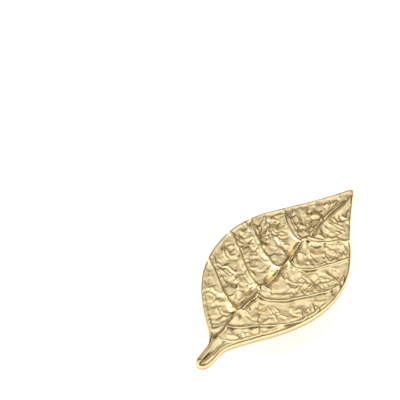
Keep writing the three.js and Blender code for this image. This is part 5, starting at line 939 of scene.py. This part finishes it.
def crest_sheen_and_hollow_shade(points):
    """Towards 1 on a crest, where a painted highlight goes that also stands for polish, and towards -1 in a hollow,
    where patina and painted shade go.
    """
    h = np.zeros(len(points))
    for line, width, heights, leans in VEINS:
        if width < 0.6:
            k, g, _, t = stroke_parts(points, smooth(line, 0.5), width)
            if len(k):
                h[k] += 2.4 * np.interp(t, np.linspace(0, 1, len(heights)), heights) * g
    for width, height, lean, line in STROKES:
        k, g, _, _ = stroke_parts(points, smooth(line, 0.25), width)
        if len(k):
            h[k] += 2.8 * height * g
    return np.clip(h, -1, 1)


# name, bearing, elevation, distance, wide, high, radiance, tint
LIGHTS = [("key_left", 190, 45, 1.1, 0.34, 0.34, 3.0, (1.0, 0.99, 0.97))]
WORLD_TINT, FLOOR_GLOW = (1.0, 0.99, 0.98), 0.60
# direction (right, near, up in the picture), sharpness, brightness
WORLD_BASE = 0.30
WORLD_LOBES = [
    ((0.00, -0.20, 1.00), 1.0, 0.63),
    ((-0.85, 0.10, 0.52), 6.0, 1.15),
    ((0.62, 0.00, 0.78), 12.0, 0.62),
    ((0.95, -0.20, 0.25), 5.0, -0.42),
    ((-0.60, -0.80, 0.12), 6.0, -0.42),
    ((0.35, -1.00, 0.10), 6.0, -0.32),
    ((0.00, 0.20, 1.00), 14.0, 0.42),
    ((0.00, 0.85, 0.50), 4.0, -0.35),
]


# ---------------------------------------------------------------- the fine mesh
verts, faces, flat_faces = [], [], []


def add(points, heights):
    first = sum(len(v) for v in verts)
    verts.append(np.c_[np.asarray(points, float), np.broadcast_to(heights, len(points))])
    return first


def band(lower, upper, n, flat=False):
    """A strip of quads between two closed rings of n points; the lower ring is the one further along anticlockwise-out."""
    for i in range(n):
        j = (i + 1) % n
        if flat:
            flat_faces.append(len(faces))
        faces.append((lower + i, lower + j, upper + j, upper + i))


ring0 = outline_at(0.26)                                  # anticlockwise, seen from above
n = len(ring0)


def is_inside(points, loop):
    odd = np.zeros(len(points), bool)
    x, y = points[:, 0], points[:, 1]
    for i in range(len(loop)):
        (ax, ay), (bx, by) = loop[i], loop[i - 1]
        m = (ay > y) != (by > y)
        if m.any():
            odd[m] ^= x[m] < (bx - ax) * (y[m] - ay) / (by - ay) + ax
    return odd


def inset(distance):
    """The outline moved inward in small steps, evened out at each so that it stays smooth inside the tip."""
    p, steps = ring0.copy(), max(1, math.ceil(distance / 0.03))
    for _ in range(steps):
        t = np.roll(p, -1, 0) - np.roll(p, 1, 0)
        t /= np.linalg.norm(t, axis=1)[:, None]
        p = p + np.c_[-t[:, 1], t[:, 0]] * (distance / steps)
        for _ in range(2):
            p = p + 0.5 * ((np.roll(p, 1, 0) + np.roll(p, -1, 0)) / 2 - p)
    return p


# the wall from the back's edge up to the rim, then over the rim to the edge of the face
def back_height(points):
    return PLATE_BACK + BACK_HOLLOW * ease(0.8, 9.0, margin_distance(points))


back_edge = inset(BACK_RADIUS * 1.4)
rings = [add(back_edge, back_height(back_edge))]
for turn in (70, 50, 30, 15):
    a = math.radians(turn)
    rings.append(add(inset(BACK_RADIUS * (1 - math.cos(a))), PLATE_BACK + BACK_RADIUS * (1 - math.sin(a))))
for z in np.linspace(PLATE_BACK + BACK_RADIUS, RIM_TOP - RIM_RADIUS, 6):
    rings.append(add(ring0, z))
for turn in (12, 24, 36, 48, 60, 72, 84):
    p = inset(RIM_RADIUS * (1 - math.cos(math.radians(turn))))
    rings.append(add(p, face_height(p)))
face_edge = inset(RIM_RADIUS * 1.02)
rings.append(add(face_edge, face_height(face_edge)))
for a, b in zip(rings, rings[1:]):
    band(a, b, n)


def grid(spacing):
    rows = []
    for r, y in enumerate(np.arange(-47.5, 47.5, spacing * math.sqrt(0.75))):
        x = np.arange(-24, 24, spacing) + (r % 2) * spacing / 2
        rows.append(np.c_[x, np.full(len(x), y)])
    return np.vstack(rows)


def fill(loops, inner, heights, down=False):
    """Triangles between closed loops, whose points are already placed, through the inner points."""
    points = np.vstack([l for l, _ in loops] + [inner])
    index, edges, at = [], [], 0
    for loop, first in loops:
        m = len(loop)
        index += range(first, first + m)
        edges += [(at + i, at + (i + 1) % m) for i in range(m)]
        at += m
    first = add(inner, heights)
    index += range(first, first + len(inner))
    co, _, tris, orig, _, _ = delaunay_2d_cdt([Vector(p) for p in points.tolist()], edges, [], 0, 1e-7)
    if len(co) != len(points):
        raise RuntimeError("the fill moved its points")
    where = [index[o[0]] for o in orig]
    centre = np.array([np.mean([co[i] for i in t], axis=0) for t in tris])
    keep = is_inside(centre, loops[0][0])
    for loop, _ in loops[1:]:
        keep &= ~is_inside(centre, loop)
    for t, k in zip(tris, keep):
        if k:
            a, b, c = (co[i] for i in t)
            ccw = (b[0] - a[0]) * (c[1] - a[1]) - (b[1] - a[1]) * (c[0] - a[0]) > 0
            t = [where[i] for i in t]
            faces.append(tuple(t if ccw != down else t[::-1]))


FINE = 0.213
p = grid(FINE)
p = p[is_inside(p, face_edge)]
p = p[nearest(p, face_edge, closed=True)[0] > FINE * 0.6]
fill([(face_edge, rings[-1])], p, face_height(p))

# the back, with a round opening where the post's flare begins
SEGMENTS = 72
circle = np.array([(math.cos(a), math.sin(a)) for a in np.linspace(0, 2 * math.pi, SEGMENTS, endpoint=False)])
FLARE = 8.9
p = grid(0.95)
p = p[is_inside(p, back_edge)]
p = p[(nearest(p, back_edge, closed=True)[0] > 0.45) & (np.hypot(p[:, 0], p[:, 1]) > FLARE + 0.5)]
post_top = add(circle * FLARE, back_height(circle * FLARE))
fill([(back_edge, rings[0]), (circle * FLARE, post_top)], p, back_height(p), down=True)

# the post: flare, waist and foot
profile = smooth([(8.9, 19.62), (8.1, 19.5), (7.2, 19.05), (6.35, 18.25), (5.7, 17.2), (5.15, 15.8), (4.75, 14.0), (4.5, 11.8),
                  (4.4, 9.2), (4.42, 6.6), (4.55, 4.6), (4.85, 3.2), (5.3, 2.45), (5.75, 2.1), (6.0, 1.65)], 0.42)
foot = [(6.0, 1.65), (6.0, 0.45), (5.94, 0.22), (5.8, 0.06), (5.6, 0.0)]
last = post_top
for r, z in list(profile[1:]) + foot[1:]:
    now = add(circle * r, z)
    band(now, last, SEGMENTS)
    last = now
for r in (4.6, 3.4, 2.3):
    now = add(circle * r, 0.0)
    band(now, last, SEGMENTS, flat=True)
    last = now

# the threaded hole: entry chamfer, M4 x 0.7 thread, drill point
PITCH, CORE, DEPTH = 0.7, 1.65, 12.0
angle = np.linspace(0, 2 * math.pi, SEGMENTS, endpoint=False)
for z in np.arange(0.1, DEPTH + 0.01, 0.0875):
    wave = np.abs(((z / PITCH - angle / (2 * math.pi)) % 1.0) * 2 - 1)          # 1 at a root, 0 at a crest
    cut = 0.35 * np.clip((wave - 0.12) / 0.76, 0, 1) * np.clip((DEPTH - 0.6 - z) / 0.7, 0, 1)
    radius = np.maximum(CORE + cut, 2.3 - z if z < 0.65 else 0)
    now = add(circle * radius[:, None], z)
    band(now, last, SEGMENTS)
    last = now
for r, z in ((1.1, 12.32), (0.5, 12.66)):
    now = add(circle * r, z)
    band(now, last, SEGMENTS)
    last = now
tip = add([(0.0, 0.0)], 12.95)
for i in range(SEGMENTS):
    faces.append((last + i, tip, last + (i + 1) % SEGMENTS))

mesh = bpy.data.meshes.new("leaf_pull_cast")
mesh.from_pydata((np.vstack(verts) / 1000).tolist(), [], faces)
xyz = np.vstack(verts)
# painted light per point: towards 1 a painted highlight on crests, towards -1 patina with painted shade in hollows
painted_light_and_patina = np.zeros(len(xyz))
face_side = xyz[:, 2] > RIM_TOP - RIM_RADIUS + 0.01
painted_light_and_patina[face_side] = crest_sheen_and_hollow_shade(xyz[face_side, :2])
painted_light_and_patina[~face_side] = -1.0 * ease(0, 0.9, RIM_TOP - RIM_RADIUS - xyz[~face_side, 2])      # painted shade: the wall, back and post take the darker, duller hollow colour
mesh.attributes.new("painted_light_and_patina", "FLOAT", "POINT").data.foreach_set("value", painted_light_and_patina)
mesh.validate()
smooth_face = np.ones(len(mesh.polygons), bool)
smooth_face[flat_faces] = False
mesh.polygons.foreach_set("use_smooth", smooth_face)
mesh.update()
leaf = bpy.data.objects.new("leaf_pull_cast", mesh)
bpy.context.scene.collection.objects.link(leaf)
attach(leaf, "root")
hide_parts("leaf_pull")


# ---------------------------------------------------------------- satin polished brass
def brass():
    m = bpy.data.materials.new("cast_brass")
    m.use_nodes = True
    t = m.node_tree
    t.nodes.clear()

    def node(kind, **inputs):
        x = t.nodes.new(kind)
        for key, value in inputs.items():
            x.inputs[key.replace("_", " ")].default_value = value
        return x

    out = node("ShaderNodeOutputMaterial")
    shader = node("ShaderNodeBsdfPrincipled", Metallic=1.0)
    t.links.new(shader.outputs[0], out.inputs[0])
    place = node("ShaderNodeTexCoord")

    # slow change of tone over the casting, and a finer one where the polish differs
    slow = node("ShaderNodeTexNoise", Scale=90.0, Detail=3.0, Roughness=0.6)
    fine = node("ShaderNodeTexNoise", Scale=900.0, Detail=5.0, Roughness=0.65)
    grain = node("ShaderNodeTexNoise", Scale=5200.0, Detail=3.0, Roughness=0.6)
    for x in (slow, fine, grain):
        t.links.new(place.outputs["Object"], x.inputs["Vector"])
    tone = node("ShaderNodeValToRGB")
    tone.color_ramp.elements[0].position, tone.color_ramp.elements[0].color = 0.30, (*TONE_LOW, 1)
    tone.color_ramp.elements[1].position, tone.color_ramp.elements[1].color = 0.70, (*TONE_HIGH, 1)
    t.links.new(slow.outputs["Fac"], tone.inputs["Fac"])
    # painted highlight: crests paler, also standing for polish; hollows browner and duller, patina with painted shade
    height = node("ShaderNodeAttribute")
    height.attribute_name = "painted_light_and_patina"
    crest_sheen_amount = node("ShaderNodeMapRange", From_Min=0.15, From_Max=1.0, To_Min=0.0, To_Max=CREST_SHEEN_MIX)
    hollow_shade_and_patina_amount = node("ShaderNodeMapRange", From_Min=-0.08, From_Max=-0.9, To_Min=0.0, To_Max=HOLLOW_SHADE_AND_PATINA_MIX)
    color = tone.outputs["Color"]
    for part, other in ((crest_sheen_amount, CREST_SHEEN), (hollow_shade_and_patina_amount, HOLLOW_SHADE_AND_PATINA)):
        t.links.new(height.outputs["Fac"], part.inputs["Value"])
        mix = node("ShaderNodeMix")
        mix.data_type = "RGBA"
        t.links.new(part.outputs["Result"], mix.inputs[0])
        t.links.new(color, mix.inputs[6])
        mix.inputs[7].default_value = (*other, 1)
        color = mix.outputs[2]
    t.links.new(color, shader.inputs["Base Color"])
    rough = node("ShaderNodeMapRange", From_Min=0.3, From_Max=0.7, To_Min=ROUGH[0], To_Max=ROUGH[1])
    t.links.new(fine.outputs["Fac"], rough.inputs["Value"])
    duller = node("ShaderNodeMath")
    duller.operation = "MULTIPLY_ADD"
    t.links.new(hollow_shade_and_patina_amount.outputs["Result"], duller.inputs[0])
    duller.inputs[1].default_value = 0.14
    t.links.new(rough.outputs["Result"], duller.inputs[2])
    t.links.new(duller.outputs[0], shader.inputs["Roughness"])
    bump = node("ShaderNodeBump", Strength=0.22, Distance=0.00004)
    bump2 = node("ShaderNodeBump", Strength=0.25, Distance=0.000012)
    t.links.new(fine.outputs["Fac"], bump.inputs["Height"])
    t.links.new(grain.outputs["Fac"], bump2.inputs["Height"])
    t.links.new(bump.outputs["Normal"], bump2.inputs["Normal"])
    t.links.new(bump2.outputs["Normal"], shader.inputs["Normal"])
    return m


# painted highlight colour for crests; hollow colour of patina with painted shade
CREST_SHEEN, CREST_SHEEN_MIX, HOLLOW_SHADE_AND_PATINA, HOLLOW_SHADE_AND_PATINA_MIX = (0.98, 0.83, 0.46), 0.92, (0.50, 0.39, 0.21), 0.82
TONE_LOW, TONE_HIGH, ROUGH = (0.87, 0.665, 0.335), (0.92, 0.725, 0.395), (0.14, 0.21)
mesh.materials.append(brass())

# ---------------------------------------------------------------- floor and light
floor_mesh = bpy.data.meshes.new("floor")
floor_mesh.from_pydata([(-3, -3, 0), (3, -3, 0), (3, 3, 0), (-3, 3, 0)], [], [(0, 1, 2, 3)])
floor = bpy.data.objects.new("floor", floor_mesh)
bpy.context.scene.collection.objects.link(floor)
pale = bpy.data.materials.new("pale_floor")
pale.use_nodes = True
s = pale.node_tree.nodes["Principled BSDF"]
s.inputs["Base Color"].default_value = (0.90, 0.89, 0.87, 1)
s.inputs["Roughness"].default_value = 0.9
s.inputs["Specular IOR Level"].default_value = 0.1
s.inputs["Emission Color"].default_value = (1, 0.995, 0.985, 1)
s.inputs["Emission Strength"].default_value = FLOOR_GLOW
floor_mesh.materials.append(pale)


def softbox(name, toward, elevation, distance, wide, crest_sheen_amount, radiance, tint=(1, 1, 1)):
    """A soft area light, aimed at the leaf. toward is its bearing in the picture: 0 right, 90 away, 180 left, 270 near."""
    b, e = math.radians(toward), math.radians(elevation)
    d = (right * math.cos(b) - near * math.sin(b)) * math.cos(e) + Vector((0, 0, math.sin(e)))
    data = bpy.data.lights.new(name, "AREA")
    data.shape, data.size, data.size_y = "RECTANGLE", wide, crest_sheen_amount
    data.energy = radiance * math.pi * wide * crest_sheen_amount
    data.color = tint
    light = bpy.data.objects.new(name, data)
    light.location = Vector((0, 0, 0.02)) + d * distance
    light.rotation_euler = d.to_track_quat("Z", "Y").to_euler()
    bpy.context.scene.collection.objects.link(light)


for args in LIGHTS:
    softbox(*args)

# a soft white tent: brighter towards the top, one bright side and one darker side
world = bpy.data.worlds.new("studio")
world.use_nodes = True
wt = world.node_tree
background = wt.nodes["Background"]
looking = wt.nodes.new("ShaderNodeTexCoord")


def math_node(kind, a, b):
    x = wt.nodes.new("ShaderNodeMath")
    x.operation = kind
    for socket, value in zip(x.inputs, (a, b)):
        if isinstance(value, (int, float)):
            socket.default_value = value
        else:
            wt.links.new(value, socket)
    return x.outputs[0]


def lobe(direction, power):
    r, f, z = direction
    d = (right * r + near * f + Vector((0, 0, z))).normalized()
    dot = wt.nodes.new("ShaderNodeVectorMath")
    dot.operation = "DOT_PRODUCT"
    wt.links.new(looking.outputs["Generated"], dot.inputs[0])
    dot.inputs[1].default_value = d
    return math_node("POWER", math_node("MAXIMUM", dot.outputs["Value"], 0.0), power)


total = WORLD_BASE
for direction, power, strength in WORLD_LOBES:
    total = math_node("ADD", math_node("MULTIPLY", lobe(direction, power), strength), total)
total = math_node("MAXIMUM", total, 0.03)
tint = wt.nodes.new("ShaderNodeValToRGB")                 # the dim side of the room is warm, the bright side neutral
tint.color_ramp.elements[0].position, tint.color_ramp.elements[0].color = 0.05, (1.0, 0.84, 0.52, 1)
tint.color_ramp.elements[1].position, tint.color_ramp.elements[1].color = 0.50, (*WORLD_TINT, 1)
tint.color_ramp.elements.new(0.95).color = (0.97, 1.0, 1.08, 1)
wt.links.new(total, tint.inputs["Fac"])
wt.links.new(tint.outputs["Color"], background.inputs["Color"])
wt.links.new(total, background.inputs["Strength"])
bpy.context.scene.world = world
bpy.context.scene.view_settings.view_transform = "Standard"
